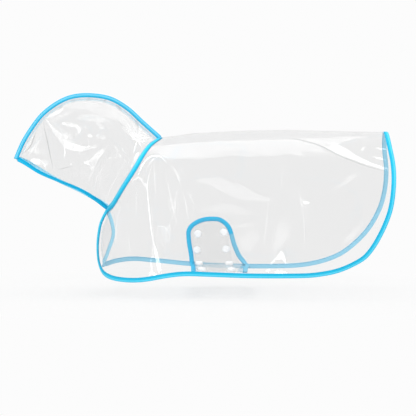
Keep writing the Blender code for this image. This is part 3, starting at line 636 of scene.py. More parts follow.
def clear_film(name, passed, haze, mirror_facing):
    """Cast clear PVC film: it lets nearly all light through, and mirrors more at a glancing view."""
    made, tree = new_material(name)
    place = add_node(tree, "ShaderNodeTexCoord").outputs["Object"]
    waves = add_node(tree, "ShaderNodeTexNoise", {"Scale": FILM_WAVES, "Detail": 2.0}, {"Vector": place})
    drawn = add_node(tree, "ShaderNodeMapping", {"Scale": FILM_STREAKS}, {"Vector": place})
    streaks = add_node(tree, "ShaderNodeTexNoise", {"Scale": 1.0, "Detail": 3.0},
                       {"Vector": drawn.outputs[0]})
    wavy = add_node(tree, "ShaderNodeBump", {"Strength": 0.3, "Distance": 0.0015},
                    {"Height": waves.outputs["Fac"]})
    bump = add_node(tree, "ShaderNodeBump", {"Strength": 0.3, "Distance": 0.0005},
                    {"Height": streaks.outputs["Fac"], "Normal": wavy.outputs["Normal"]})
    facing = add_node(tree, "ShaderNodeLayerWeight", {"Blend": 0.5}, {"Normal": bump.outputs["Normal"]})
    glancing = add_node(tree, "ShaderNodeMath", {"operation": "POWER", 1: FILM_MIRROR_POWER},
                        {0: facing.outputs["Facing"]})
    mirror = add_node(tree, "ShaderNodeMath",
                      {"operation": "MULTIPLY_ADD", 1: FILM_MIRROR_RISE, 2: mirror_facing},
                      {0: glancing.outputs[0]})
    through = add_node(tree, "ShaderNodeBsdfTransparent", {"Color": linear(passed)})
    milk = add_node(tree, "ShaderNodeBsdfDiffuse", {"Color": linear(FILM_MILK)},
                    {"Normal": bump.outputs["Normal"]})
    clear = add_node(tree, "ShaderNodeMixShader", {"Fac": haze}, {1: through.outputs[0], 2: milk.outputs[0]})
    gloss = add_node(tree, "ShaderNodeBsdfGlossy", {"Color": linear("#ffffff"), "Roughness": 0.07},
                     {"Normal": bump.outputs["Normal"]})
    both = add_node(tree, "ShaderNodeMixShader", None,
                    {"Fac": mirror.outputs[0], 1: clear.outputs[0], 2: gloss.outputs[0]})
    add_node(tree, "ShaderNodeOutputMaterial", None, {"Surface": both.outputs[0]})
    return made


def creased_film_painted_light(name):
    """Strips of PVC film on set creases, carrying painted light: a harder mirror where the map paints a
    highlight, and painted grey shade where it paints shade.

    The piece's own map holds the glint in U and the shade in V."""
    made, tree = new_material(name)
    place = add_node(tree, "ShaderNodeTexCoord").outputs["Object"]
    marks = add_node(tree, "ShaderNodeUVMap", {"uv_map": "crease"}).outputs["UV"]
    axes = add_node(tree, "ShaderNodeSeparateXYZ", None, {0: marks})
    # painted highlights: the glint in U sets how much the strip mirrors, a little unevenly
    painted_glint_unevenness = add_node(tree, "ShaderNodeTexNoise", {"Scale": CREASE_GRAIN, "Detail": 2.0}, {"Vector": place})
    level = add_node(tree, "ShaderNodeMapRange",
                     {"From Min": 0.3, "From Max": 0.7, "To Min": PAINTED_GLINT_MIRROR * 0.75,
                      "To Max": PAINTED_GLINT_MIRROR * 1.25}, {"Value": painted_glint_unevenness.outputs["Fac"]})
    mirror = add_node(tree, "ShaderNodeMath", {"operation": "MULTIPLY"},
                      {0: axes.outputs["X"], 1: level.outputs[0]})
    # painted shade: the shade in V greys what the strip lets through
    passed = add_node(tree, "ShaderNodeMixRGB", {"Color1": linear("#ffffff"), "Color2": linear(CREASE_PAINTED_SHADE_GREY)},
                      {"Fac": axes.outputs["Y"]})
    through = add_node(tree, "ShaderNodeBsdfTransparent", None, {"Color": passed.outputs[0]})
    gloss = add_node(tree, "ShaderNodeBsdfGlossy", {"Color": linear("#ffffff"), "Roughness": 0.15})
    both = add_node(tree, "ShaderNodeMixShader", None,
                    {"Fac": mirror.outputs[0], 1: through.outputs[0], 2: gloss.outputs[0]})
    add_node(tree, "ShaderNodeOutputMaterial", None, {"Surface": both.outputs[0]})
    return made


def woven_tape(name, edge_colour, highlight_colour, reverse_painted_colour, painted_veil_colour="#a9def1"):
    """Polyester grosgrain tape: fine cross ribs, a lighter middle line that is a painted highlight, and a
    soft sheen.

    The reverse leaf shows only through the film and has a colour of its own, painted for that look; the
    stretch whose coordinates are shifted takes a paler colour, painted for the veil of the film in front."""
    made, tree = new_material(name)
    uv = add_node(tree, "ShaderNodeUVMap", {"uv_map": "tape"}).outputs["UV"]
    axes = add_node(tree, "ShaderNodeSeparateXYZ", None, {0: uv})
    rib = add_node(tree, "ShaderNodeTexWave",
                   {"bands_direction": "X", "Scale": TAPE_RIBS, "Distortion": 0.3, "Detail": 1.0},
                   {"Vector": uv})
    mottle = add_node(tree, "ShaderNodeTexNoise", {"Scale": TAPE_MOTTLE, "Detail": 3.0}, {"Vector": uv})
    # a painted highlight: a lighter line along the middle of each leaf
    across = add_node(tree, "ShaderNodeMath", {"operation": "ABSOLUTE"}, {0: axes.outputs["Y"]})
    off_highlight_line = add_node(tree, "ShaderNodeMath", {"operation": "SUBTRACT", 1: TAPE_WIDTH * HIGHLIGHT_LINE_PLACE},
                          {0: across.outputs[0]})
    away = add_node(tree, "ShaderNodeMath", {"operation": "ABSOLUTE"}, {0: off_highlight_line.outputs[0]})
    highlight_line = add_node(tree, "ShaderNodeMapRange",
                      {"From Min": 0.2, "From Max": 1.8, "To Min": 0.5, "To Max": 0.0},
                      {"Value": away.outputs[0]})
    blend = add_node(tree, "ShaderNodeMath", {"operation": "MULTIPLY_ADD", 1: 0.20},
                     {0: mottle.outputs["Fac"], 2: highlight_line.outputs[0]})
    face = add_node(tree, "ShaderNodeMixRGB",
                    {"Color1": linear(edge_colour), "Color2": linear(highlight_colour)},
                    {"Fac": blend.outputs[0]})
    # the reverse leaf shows only through the film, and takes a colour painted for that look
    reverse = add_node(tree, "ShaderNodeMath", {"operation": "GREATER_THAN", 1: 0.0},
                       {0: axes.outputs["Y"]})
    turned = add_node(tree, "ShaderNodeMixRGB", {"Color2": linear(reverse_painted_colour)},
                      {"Fac": reverse.outputs[0], "Color1": face.outputs[0]})
    # painted veil: a paler colour standing in for the film's mirrored veil over the tape
    painted_veil = add_node(tree, "ShaderNodeMath", {"operation": "GREATER_THAN", 1: PAINTED_VEIL_SHIFT / 2},
                    {0: axes.outputs["Y"]})
    shade = add_node(tree, "ShaderNodeMixRGB", {"Color2": linear(painted_veil_colour)},
                     {"Fac": painted_veil.outputs[0], "Color1": turned.outputs[0]})
    bump = add_node(tree, "ShaderNodeBump", {"Strength": 0.4, "Distance": 0.0003},
                    {"Height": rib.outputs["Fac"]})
    shader = add_node(tree, "ShaderNodeBsdfPrincipled",
                      {"Roughness": 0.62, "Sheen Weight": 0.03, "Sheen Roughness": 0.4,
                       "Specular IOR Level": 0.12},
                      {"Base Color": shade.outputs[0], "Normal": bump.outputs["Normal"]})
    add_node(tree, "ShaderNodeOutputMaterial", None, {"Surface": shader.outputs[0]})
    return made


def smooth_plastic(name, colour, roughness, coat=0.0):
    """A smooth moulded or spun plastic with the finest grain."""
    made, tree = new_material(name)
    place = add_node(tree, "ShaderNodeTexCoord").outputs["Object"]
    grain = add_node(tree, "ShaderNodeTexNoise", {"Scale": FINE_GRAIN, "Detail": 2.0}, {"Vector": place})
    bump = add_node(tree, "ShaderNodeBump", {"Strength": 0.06, "Distance": 0.0002},
                    {"Height": grain.outputs["Fac"]})
    shader = add_node(tree, "ShaderNodeBsdfPrincipled",
                      {"Base Color": linear(colour), "Roughness": roughness, "Coat Weight": coat},
                      {"Normal": bump.outputs["Normal"]})
    add_node(tree, "ShaderNodeOutputMaterial", None, {"Surface": shader.outputs[0]})
    return made


# Soft PVC film, cast and drawn out clear. Plasticised, it stays glossy and a little milky, so it all but
# vanishes face on and mirrors the bright room where it turns away; its faint streaks bend what it mirrors.
VINYL = clear_film("cast_clear_pvc_film", "#fbfbfb", 0.010, 0.030)
# The same film for the strap and its reinforcement, a little clearer, as up to four films lie together there
STRAP_VINYL = clear_film("strap_clear_pvc_film", "#fdfdfd", 0.006, 0.020)
# The same film in strips on the creases that folding in the packet has set, carrying painted light: their map
# paints white glints, lit by panels that only these strips see, and thin grey lines of shade.
CREASED_VINYL_PAINTED_LIGHT = creased_film_painted_light("creased_clear_pvc_film_painted_light")
# Grosgrain tape, woven of polyester and dyed sky blue: fine ribs run across it, and the filaments give it a
# dull sheen. A lighter line along each leaf is a painted highlight, and tape behind film takes paler painted
# colours for the film's veil. The crown's is painted paler still, for the top light it stands up in, and the
# face's has hardly any painted highlight, so it reads deeper; the strap's is seen through the side's film.
TAPE = woven_tape("sky_blue_grosgrain_tape", "#00b2da", "#74dcf2", "#92cfe8", "#9cd8ee")
# a painted lit copy of the tape: paler for the top light on the crown
CROWN_TAPE_PAINTED_LIT = woven_tape("sky_blue_grosgrain_tape_crown_painted_lit", "#0cb0dc", "#98e0f4", "#a4dcf0")
FACE_TAPE = woven_tape("sky_blue_grosgrain_tape_face", "#00acdc", "#24c0e8", "#a4dcf0")
STRAP_TAPE = woven_tape("sky_blue_grosgrain_tape_strap", "#00b2e2", "#14c4ee", "#00b0e0", "#74c2e0")
# Polyester thread, spun and dyed a deeper blue, so that each stitch reads as a small dull dash
THREAD = smooth_plastic("blue_polyester_thread", "#068cb8", 0.5)
# Acetal resin, injection moulded: white to the core and smooth, with one soft waxy highlight on each cap
RESIN = smooth_plastic("white_acetal_resin", "#f9f9fa", 0.35, 0.06)


# ---------------------------------------------------------------- pieces

def add_object(name, shape, finish, replaced):
    """A finished piece from a bmesh in millimetres, on the frame's body."""
    for face in shape.faces:
        face.smooth = True
    mesh = bpy.data.meshes.new(name)
    bmesh.ops.scale(shape, vec=(MM, MM, MM), verts=shape.verts)
    shape.to_mesh(mesh)
    shape.free()
    mesh.materials.append(finish)
    piece = bpy.data.objects.new(name, mesh)
    bpy.context.scene.collection.objects.link(piece)
    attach(piece, "root")
    if replaced:
        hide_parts(*replaced)
    return piece


def sheet_shape(grid, outward):
    """A grid mesh moved onto the given points; the face at its middle looks along outward."""
    rows, columns = len(grid), len(grid[0])
    shape = bmesh.new()
    bmesh.ops.create_grid(shape, x_segments=columns - 1, y_segments=rows - 1, size=1.0)
    shape.verts.ensure_lookup_table()
    for index, vert in enumerate(shape.verts):
        vert.co = grid[index // columns][index % columns]
    shape.normal_update()
    middle = shape.faces[:][len(shape.faces) // 2]
    if middle.normal.dot(outward) < 0:
        bmesh.ops.reverse_faces(shape, faces=shape.faces)
    return shape


def thicken(piece, wall):
    """Give a sheet its wall, half to each side of its middle surface."""
    solid = piece.modifiers.new("wall", "SOLIDIFY")
    solid.thickness = wall * MM
    solid.offset = 0.0


def add_film(name, grid, finish, replaced, outward):
    """A film of even wall on the given grid of points."""
    piece = add_object(name, sheet_shape(grid, outward), finish, [replaced])
    thicken(piece, FILM_WALL)
    return piece


def surface(grid):
    """The middle surface of a sheet, to find the nearest place on it."""
    columns = len(grid[0])
    faces = [(i * columns + j, i * columns + j + 1, (i + 1) * columns + j + 1, (i + 1) * columns + j)
             for i in range(len(grid) - 1) for j in range(columns - 1)]
    return BVHTree.FromPolygons([point for row in grid for point in row], faces)


def away_from(hollow, sheet, place):
    """The sheet's normal near a place, turned away from the middle of the hollow that it encloses."""
    _, normal, _, _ = sheet.find_nearest(place)
    return normal if normal.dot(place - hollow) > 0 else -normal


def respaced(line, step):
    """The line's points at an even spacing near the given step."""
    marks = length_marks(line)
    count = max(2, round(marks[-1] / step))
    found, index = [], 0
    for k in range(count + 1):
        distance = marks[-1] * k / count
        while index < len(line) - 2 and marks[index + 1] < distance:
            index += 1
        span = max(marks[index + 1] - marks[index], 1e-9)
        found.append(line[index].lerp(line[index + 1], min((distance - marks[index]) / span, 1.0)))
    return found


def eased(points, rounds):
    """The line with its corners rounded by averaging each point with its neighbours."""
    for _ in range(rounds):
        before = points[:]
        for index in range(1, len(points) - 1):
            points[index] = before[index] * 0.5 + (before[index - 1] + before[index + 1]) * 0.25
    return points


def tape_sections(edge, sheet, outward_at, width=TAPE_WIDTH):
    """For each place on a cut edge: points and normals of the film inwards from it, a step apart."""
    last = len(edge) - 1
    steps = round(width / TAPE_STEP)
    tangents, starts = [], []
    for index, point in enumerate(edge):
        tangent = (edge[min(index + 1, last)] - edge[max(index - 1, 0)]).normalized()
        side = outward_at(point).cross(tangent).normalized()
        probes = []
        for sign in (1.0, -1.0):
            target = point + side * sign * 3.0
            near = sheet.find_nearest(target)[0]
            probes.append(((near - target).length, sign))
        tangents.append(tangent)
        starts.append(side * min(probes)[1])
    found = []
    for index, point in enumerate(edge):
        low, high = max(index - 2, 0), min(index + 3, last + 1)
        inward = sum(starts[low:high], Vector()).normalized()
        tangent = tangents[index]
        line, place = [point], point
        for _ in range(steps):
            ahead = sheet.find_nearest(place + inward * TAPE_STEP)[0]
            move = ahead - place
            move -= tangent * move.dot(tangent)
            if move.length > 1e-6:
                inward = move.normalized()
            place = place + inward * TAPE_STEP
            line.append(place)
        normals = []
        for k in range(len(line)):
            run = (line[min(k + 1, steps)] - line[max(k - 1, 0)]).normalized()
            normal = tangent.cross(run).normalized()
            if normal.dot(outward_at(point)) < 0:
                normal.negate()
            normals.append(normal)
        found.append((line, normals, tangent))
    return found


def add_tape(name, edge, sheet, outward_at, binding, lift=TAPE_LIFT, finish=TAPE, width=TAPE_WIDTH,
             painted_veil=()):
    """Woven tape folded over the cut edge of a film, in a solid binding's place; returns its sections.

    The stretches listed, as shares of the edge, are painted paler, for the veil of the film in front of the
    tape."""
    sections = tape_sections(edge, sheet, outward_at, width)
    grid = []
    for line, normals, _ in sections:
        inward = (line[1] - line[0]).normalized()
        ring = [line[k] + normals[k] * lift for k in range(len(line) - 1, -1, -1)]
        for k in range(1, TAPE_TURNS):
            angle = math.pi * k / TAPE_TURNS
            ring.append(line[0] + (normals[0] * math.cos(angle) - inward * math.sin(angle)) * lift)
        ring += [line[k] - normals[k] * lift for k in range(len(line))]
        grid.append(ring)
    middle = (len(grid[0]) - 1) / 2
    centre = grid[len(grid) // 2]
    outside = (centre[int(middle)] - centre[0]).normalized()
    shape = sheet_shape(grid, outside)
    columns = len(grid[0])
    marks = length_marks(edge)
    layer = shape.loops.layers.uv.new("tape")
    shape.verts.index_update()
    for face in shape.faces:
        for loop in face.loops:
            row, column = divmod(loop.vert.index, columns)
            share = marks[row] / marks[-1]
            painted_veil_shift = PAINTED_VEIL_SHIFT if any(low <= share < high for low, high in painted_veil) else 0.0
            loop[layer].uv = (marks[row], (column - middle) * TAPE_STEP + painted_veil_shift)
    piece = add_object(name, shape, finish, [binding])
    thicken(piece, TAPE_WALL)
    return sections


def add_stitches(name, sections, lift=TAPE_LIFT, width=TAPE_WIDTH):
    """A row of lockstitches near the tape's own edge, on both faces."""
    row = round((width - STITCH_INSET) / TAPE_STEP)
    height = lift + TAPE_WALL / 2 + STITCH_RADIUS * 0.2
    shape = bmesh.new()
    for face_side in (1.0, -1.0):
        line = [places[row] + normals[row] * face_side * height for places, normals, _ in sections]
        holes = respaced(line, STITCH_PITCH)
        for a, b in zip(holes, holes[1:]):
            middle = (a + b) / 2
            turn = (b - a).to_track_quat("Z", "Y").to_matrix().to_4x4()
            made = bmesh.ops.create_cone(shape, cap_ends=True, segments=6, radius1=STITCH_RADIUS,
                                         radius2=STITCH_RADIUS, depth=STITCH_LENGTH)
            for vert in made["verts"]:
                stretch = 1.0 - STITCH_NARROWING * abs(vert.co.z) / STITCH_LENGTH
                vert.co = turn @ Vector((vert.co.x * stretch, vert.co.y * stretch, vert.co.z)) + middle
    add_object(name, shape, THREAD, None)


def between(rows, position):
    """A smooth place between the rows of a table, by their number."""
    last = len(rows) - 1
    k = min(int(position), last - 1)
    a, b = Vector(rows[k]), Vector(rows[k + 1])
    slope_a = (b - Vector(rows[max(k - 1, 0)])) * 0.4
    slope_b = (Vector(rows[min(k + 2, last)]) - a) * 0.4
    return hermite(a, b, slope_a, slope_b, 1.0, position - k)


def line_cells(width, glint, shade, points):
    """The cells (x, z, rise, glint, shade) of a narrow crest along a line, pointed at both ends."""
    path = Line(points)
    count = max(6, round(path.length / CREASE_STEP))
    cells = []
    for k in range(count + 1):
        share = k / count
        place = path.at(share)
        run = (path.at(share + 0.01) - path.at(share - 0.01)).normalized()
        taper = math.sin(math.pi * min(max(share, CREASE_TIP), 1.0 - CREASE_TIP)) ** CREASE_POWER
        cells.append([])
        for side in (-1.0, -0.5, 0.0, 0.5, 1.0):
            point = place + Vector((-run.y, run.x)) * side * width / 2 * taper
            level = (1.0 - side * side) * taper
            cells[-1].append((point.x, point.y, CREASE_RISE * width * level, glint * level, shade * level))
    return cells


def painted_glint_patch_cells(glint, soft, rows):
    """The cells of a flat patch of painted highlight, which fades at its rim."""
    reach = max((Vector(row[:2]) - Vector(row[2:])).length for row in rows)
    columns = max(6, round(reach / (PATCH_STEP * 2)))
    shares = [0.0, 0.06] + [0.06 + 0.88 * k / columns for k in range(1, columns)] + [0.94, 1.0]
    count = sum(max(2, round((Vector(a) - Vector(b)).length / PATCH_STEP)) for a, b in zip(rows, rows[1:]))
    cells = []
    for k in range(count + 1):
        row = between(rows, (len(rows) - 1) * k / count)
        end = min(k, count - k) / count
        cells.append([])
        for share in shares:
            x, z = mix(row[0], row[2], share), mix(row[1], row[3], share)
            if soft:
                level = math.sin(math.pi * share) * math.sin(math.pi * min(end, 0.5))
            else:
                level = 1.0 if 0.0 < share < 1.0 and 0 < k < count else 0.0
            cells[-1].append((x, z, 0.0, glint * level, 0.0))
    return cells


def side_place(sheet, spot, hand, middle):
    """The film's place at a spot (x, z) in side view, and the direction off it on the outside.

    A spot just past the film's rim is drawn in towards the middle; None is further out."""
    inward = (middle - spot).normalized()
    for pull in RIM_PULLS:
        x, z = spot + inward * pull
        place, normal, _, _ = sheet.ray_cast(Vector((x, hand * WELL_OUTSIDE, z)), Vector((0.0, -hand, 0.0)))
        if place is not None and place.y * hand > 0.0:
            return place, turned_out(normal, hand)
    return None


def add_creases(name, sheet, hand, middle, lines, patches):
    """The set creases and painted highlight patches of one side, as thin strips of film lying on it."""
    shape = bmesh.new()
    layer = shape.loops.layers.uv.new("crease")
    shift = Vector(HIDDEN_SHIFT if hand > 0 else (0.0, 0.0))
    for cells in [line_cells(*line) for line in lines] + [painted_glint_patch_cells(*patch) for patch in patches]:
        found = [[side_place(sheet, Vector(cell[:2]) + shift, hand, middle) for cell in row] for row in cells]
        runs = [list(run) for on_film, run in itertools.groupby(range(len(cells)), lambda k: all(found[k]))
                if on_film]
        kept = max(runs, key=len, default=[])
        if len(kept) < FEWEST_ROWS:
            continue
        cells, found = [cells[k] for k in kept], [found[k] for k in kept]
        columns = len(cells[0])
        made = bmesh.ops.create_grid(shape, x_segments=columns - 1, y_segments=len(cells) - 1,
                                     size=1.0)["verts"]
        marks = {}
        for index, vert in enumerate(made):
            row, column = divmod(index, columns)
            _, _, rise, glint, shade = cells[row][column]
            place, outward = found[row][column]
            vert.co = place + outward * (CREASE_LIFT + rise)
            # each cell's painted glint, and its painted shade on the near side only
            marks[vert] = (glint, shade if hand < 0 else 0.0)
        faces = list({face for vert in made for face in vert.link_faces})
        for face in faces:
            face.normal_update()
            for loop in face.loops:
                loop[layer].uv = marks[loop.vert]
        if sum(face.normal.y for face in faces) * hand < 0.0:
            bmesh.ops.reverse_faces(shape, faces=faces)
    piece = add_object(name, shape, CREASED_VINYL_PAINTED_LIGHT, None)
    thicken(piece, CREASE_WALL)
    return piece


# ---------------------------------------------------------------- body

left, right = Side(-1, FRONT_LEFT, HEM_LEFT, TAIL_LEFT), Side(1, FRONT_RIGHT, HEM_RIGHT, TAIL_RIGHT)
girth = [row / ROWS for row in range(ROWS + 1)]
along_shares = [(c / COLUMNS) ** mix(FRONT_CROWDING, 1.0, c / COLUMNS) for c in range(COLUMNS + 1)]
body = [[left.point(a, g) for a in along_shares] for g in girth[:0:-1]]
body += [[right.wing_point(a, g, left) for a in along_shares] for g in girth]
last_row = len(body) - 1
throat_left = ROWS - round(left.throat * ROWS)
throat_right = ROWS + round(right.throat * ROWS)


def wing_weight(i, j):
    """How freely a point of the right front's wing settles between its neighbours."""
    return smooth((i - throat_right - 2) / 6.0) * smooth((44 - j) / 16.0) * 0.8


def body_fade(margins):
    """A function (i, j) that falls from 1 to 0 over the margins at the body's bound edges."""
    hem, front, tail = margins
    return lambda i, j: min(1.0, min(i, last_row - i) / hem, j / front, (COLUMNS - j) / tail)


relax(body, wing_weight, WING_ROUNDS)
add_folds(body, FOLDS, body_fade(FOLD_MARGINS))
unpressed = surface(body)
press_creases(body, BODY_CREASES, body_fade(CREASE_MARGINS))

panel = add_film("vinyl_body", body, VINYL, "body_panel", Vector((0, 0, 1)))
body_surface = surface(body)
front_edge = [row[0] for row in body]
neck_edge = front_edge[throat_left:throat_right + 1]
ring = front_edge[throat_right:] + body[-1][1:] + [row[-1] for row in body[-2::-1]] + body[0][-2::-1]
ring += front_edge[1:throat_left + 1]
body_creases = [add_creases(f"vinyl_body_creases_painted_light_{label}", unpressed, hand, BODY_MIDDLE, BODY_LINES,
                            BODY_PAINTED_GLINTS) for label, hand in (("left", -1), ("right", 1))]


def side_outward(place):
    """Away from the coat's hollow, square to the side, back or chest."""
    hollow = Vector((min(max(place.x, HOLLOW_ENDS[0]), HOLLOW_ENDS[1]), 0.0, HOLLOW_HEIGHT))
    return away_from(hollow, body_surface, place)


# the right front's wing lies behind the left front's film, so its tape is painted paler there for that film's
# veil
wing_share = length_marks(front_edge[throat_right:])[-1] / length_marks(ring)[-1]
edge_sections = add_tape("edge_tape", eased(respaced(ring, TAPE_STATION), 5), body_surface, side_outward,
                         "edge_binding", painted_veil=[(0.0, wing_share)])
add_stitches("edge_stitching", edge_sections)
neck_sections = add_tape("neck_tape", respaced(neck_edge, TAPE_STATION), body_surface, side_outward,
                         "neck_binding", lift=NECK_TAPE_LIFT)
add_stitches("neck_stitching", neck_sections, lift=NECK_TAPE_LIFT)


# ---------------------------------------------------------------- hood

def hood_grid(hand, side, face_rows):
    """Rows from the crown seam to the throat, columns from the face edge to the neck seam."""
    crown, face = Line(CROWN), Line(face_rows)
    seam = [side.front.at(side.throat * row / HOOD_ROWS) for row in range(HOOD_ROWS + 1)]
    columns = [c / HOOD_COLUMNS for c in range(HOOD_COLUMNS + 1)]

    def crown_down(share):
        """Down from the crown, square to it and easing into the face and the neck at its ends."""
        ahead, behind = crown.at(min(share + 0.01, 1.0)), crown.at(max(share - 0.01, 0.0))
        run = (ahead - behind).normalized()
        down = Vector((run.y, -run.x))
        start, end = face.at(0).xy - crown.at(0), seam[0].xy - crown.at(1)
        down = mix(start.normalized(), down, smooth(share / SEAM_EASING))
        return mix(end.normalized(), down, smooth((1.0 - share) / SEAM_EASING)).normalized()

    top = [crown.at(share) for share in columns]
    base = [place + crown_down(share) * FIN for share, place in zip(columns, top)]
    base[0], base[-1] = face.at(0).xy, seam[0].xy
    grid = []
    for step in range(FIN_ROWS):
        grid.append([Vector((p.x, hand * FIN_SIDE, p.y))
                     for p in (a.lerp(b, step / FIN_ROWS) for a, b in zip(top, base))])
    end_face, end_seam = face.at(1).xy, seam[-1].xy
    for row in range(HOOD_ROWS + 1):
        share = row / HOOD_ROWS
        face_point, seam_point = face.at(share), seam[row].xy
        line = []
        for column, s in enumerate(columns):
            place = mix(base[column], mix(end_face, end_seam, s), share)
            place += (face_point.xy - mix(base[0], end_face, share)) * (1.0 - s)
            place += (seam_point - mix(base[-1], end_seam, share)) * s
            width = mix(face_point[2], max(seam[row].z, FIN_SIDE), s)
            rounding = math.sin(math.pi * min(share ** CROWN_ROUNDING, 1.0))
            width += HOOD_BULGE * math.sin(math.pi * s) ** 0.7 * rounding
            if row == 0:
                width = FIN_SIDE
            line.append(Vector((place.x, hand * width, place.y)))
        grid.append(line)
    return grid


def hood_fade(margins):
    """A function (i, j) that falls from 1 to 0 over the margins at the hood's bound edges."""
    crown, throat, face, neck = margins
    return lambda i, j: min(1.0, max(i - FIN_ROWS - 1, 0) / crown, max(HOOD_ROWS + FIN_ROWS - i, 0) / throat,
                            j / face, (HOOD_COLUMNS - j) / neck)


def fin_weight(i, _):
    """How freely a row of the hood settles: not at all in the crown's fin, and evenly below it."""
    return 0.6 * smooth((i - 3) / 4.0)


def gather_creases():
    """Small puckers square to the crown, alternately up and down."""
    crown = Line(CROWN)
    creases = []
    for index, (x, z) in enumerate(GATHERS):
        near = min((crown.at(k / 60) for k in range(61)), key=lambda p: (p - Vector((x, z))).length)
        down = (Vector((x, z)) - near).normalized() * GATHER_REACH
        creases.append((2.2, 1.0 if index % 2 else -1.0,
                        [(x - down.x, z - down.y), (x, z), (x + down.x * 0.9 + 2.0, z + down.y * 0.9)]))
    return creases


hood_creases = []
for label, hand, side, face_rows in (("left", -1, left, FACE_LEFT), ("right", 1, right, FACE_RIGHT)):
    hood = hood_grid(hand, side, face_rows)
    relax(hood, fin_weight, FIN_ROUNDS)
    add_folds(hood, HOOD_FOLDS, hood_fade(HOOD_FOLD_MARGINS))
    unpressed = surface(hood)
    press_creases(hood, HOOD_CREASES + gather_creases(), hood_fade(HOOD_CREASE_MARGINS))
    hood_film = add_film(f"vinyl_hood_{label}", hood, VINYL, f"hood_{label}", Vector((0, hand, 0)))
    hood_surface = surface(hood)
    creases = add_creases(f"vinyl_hood_creases_painted_light_{label}", unpressed, hand, HOOD_MIDDLE, HOOD_LINES,
                          HOOD_PAINTED_GLINTS)
    hood_creases.append(creases)
    hood_outward = functools.partial(away_from, Vector(HOOD_HOLLOW), hood_surface)
    face_edge = [row[0] for row in hood[FIN_ROWS:]]
    face_edge.append(face_edge[-1] + (face_edge[-1] - face_edge[-4]).normalized() * FACE_TAPE_OVERRUN)
    face_sections = add_tape(f"face_tape_{label}", respaced(face_edge, TAPE_STATION), hood_surface,
                             hood_outward, f"face_binding_{label}",
                             finish=FACE_TAPE, width=FACE_TAPE_WIDTH)
    add_stitches(f"face_stitching_{label}", face_sections, width=FACE_TAPE_WIDTH)
    if hand < 0:
        crown_edge = [Vector((p.x, 0.0, p.z)) for p in hood[0]]
        fin = [[Vector((p.x, 0.0, p.z)) for p in row] for row in hood[:FIN_ROWS + 1]]
        fin += [[p + (b - a) * 2.0 for p, a, b in zip(fin[-1], fin[0], fin[-1])]]
        crown_sections = add_tape("crown_tape", respaced(crown_edge, TAPE_STATION), surface(fin),
                                  lambda place: Vector((0, -1, 0)), "crown_binding",
                                  lift=CROWN_TAPE_LIFT, finish=CROWN_TAPE_PAINTED_LIT, width=CROWN_TAPE_WIDTH)
        add_stitches("crown_stitching", crown_sections, lift=CROWN_TAPE_LIFT, width=CROWN_TAPE_WIDTH)


# ---------------------------------------------------------------- strap

def strap_frame(path, share):
    """Place on the strap's path and the direction up off its upper face, both across the coat."""
    here = path.at(share)
    run = (path.at(min(share + 0.004, 1.0)) - path.at(max(share - 0.004, 0.0))).normalized()
    return here, Vector((-run.y, run.x))


def strap_outward(place):
    """Off the strap's upper face: up under the belly, and towards the left where the strap is upright."""
    return Vector((0.0, -max(place.z - STRAP_BEND, 0.0), 6.0)).normalized()


path = Line(STRAP_PATH)
straight = [ARCH_START * k / STRAP_ROWS for k in range(STRAP_ROWS)]
arch = [mix(ARCH_START, 1.0, math.sin(math.pi / 2 * k / ARCH_ROWS)) for k in range(ARCH_ROWS + 1)]
strap = []
for share in straight + arch:
    here, _ = strap_frame(path, share)
    edges = table_value(STRAP_EDGES, share)
    strap.append([Vector((mix(edges[0], edges[1], c / STRAP_COLUMNS), here.x, here.y))
                  for c in range(STRAP_COLUMNS + 1)])
strap_film = add_film("vinyl_strap", strap, STRAP_VINYL, "belly_strap", Vector((0, -0.3, 1)))
strap_edge = [row[0] for row in strap] + strap[-1][1:-1] + [row[-1] for row in strap[::-1]]
strap_surface = surface(strap)
# part of the strap's tape is painted paler, for the veil of the film in front of it
strap_sections = add_tape("strap_tape", eased(respaced(strap_edge, TAPE_STATION), 3), strap_surface,
                          strap_outward, "strap_binding", finish=STRAP_TAPE, painted_veil=STRAP_PAINTED_VEIL)
add_stitches("strap_stitching", strap_sections)

reinforcement = []
for row in range(REINFORCEMENT_ROWS + 1):
    share = mix(*REINFORCEMENT_ENDS, row / REINFORCEMENT_ROWS)
    here, up = strap_frame(path, share)
    edges = table_value(STRAP_EDGES, share)
    low = edges[0] + REINFORCEMENT_INSET
    high = min(low + REINFORCEMENT_WIDTH, edges[1] - REINFORCEMENT_INSET)
    place = here + up * REINFORCEMENT_LIFT
    reinforcement.append([Vector((mix(low, high, c / REINFORCEMENT_COLUMNS), place.x, place.y))
                          for c in range(REINFORCEMENT_COLUMNS + 1)])
reinforcement_film = add_film("vinyl_reinforcement", reinforcement, STRAP_VINYL, "snap_reinforcement",
                              Vector((0, -0.3, 1)))


def snap_shape():
    """A turned resin cap: a low rim, a domed body and a small moulded dimple on top."""
    outline = [(0.0, 4.65), (0.9, 4.7), (1.5, 4.85), (2.2, SNAP_HEIGHT), (3.6, 4.9), (4.8, 4.4), (5.5, 3.6),
               (5.85, 2.5), (SNAP_RADIUS, 1.4), (SNAP_RADIUS, 0.5), (5.8, 0.0), (0.0, 0.0)]
    shape = bmesh.new()
    verts = [shape.verts.new((x, 0.0, z)) for x, z in outline]
    edges = [shape.edges.new(pair) for pair in zip(verts, verts[1:])]
    bmesh.ops.spin(shape, geom=verts + edges, cent=(0, 0, 0), axis=(0, 0, 1), angle=math.tau, steps=40,
                   use_merge=True)
    bmesh.ops.remove_doubles(shape, verts=shape.verts, dist=0.01)
    bmesh.ops.recalc_face_normals(shape, faces=shape.faces)
    return shape


def add_snap(name, place, direction, replaced):
    """One resin cap seated at a place and facing along a direction."""
    shape = snap_shape()
    turn = direction.to_track_quat("Z", "Y").to_matrix().to_4x4()
    for vert in shape.verts:
        vert.co = turn @ vert.co + place
    add_object(name, shape, RESIN, [replaced])


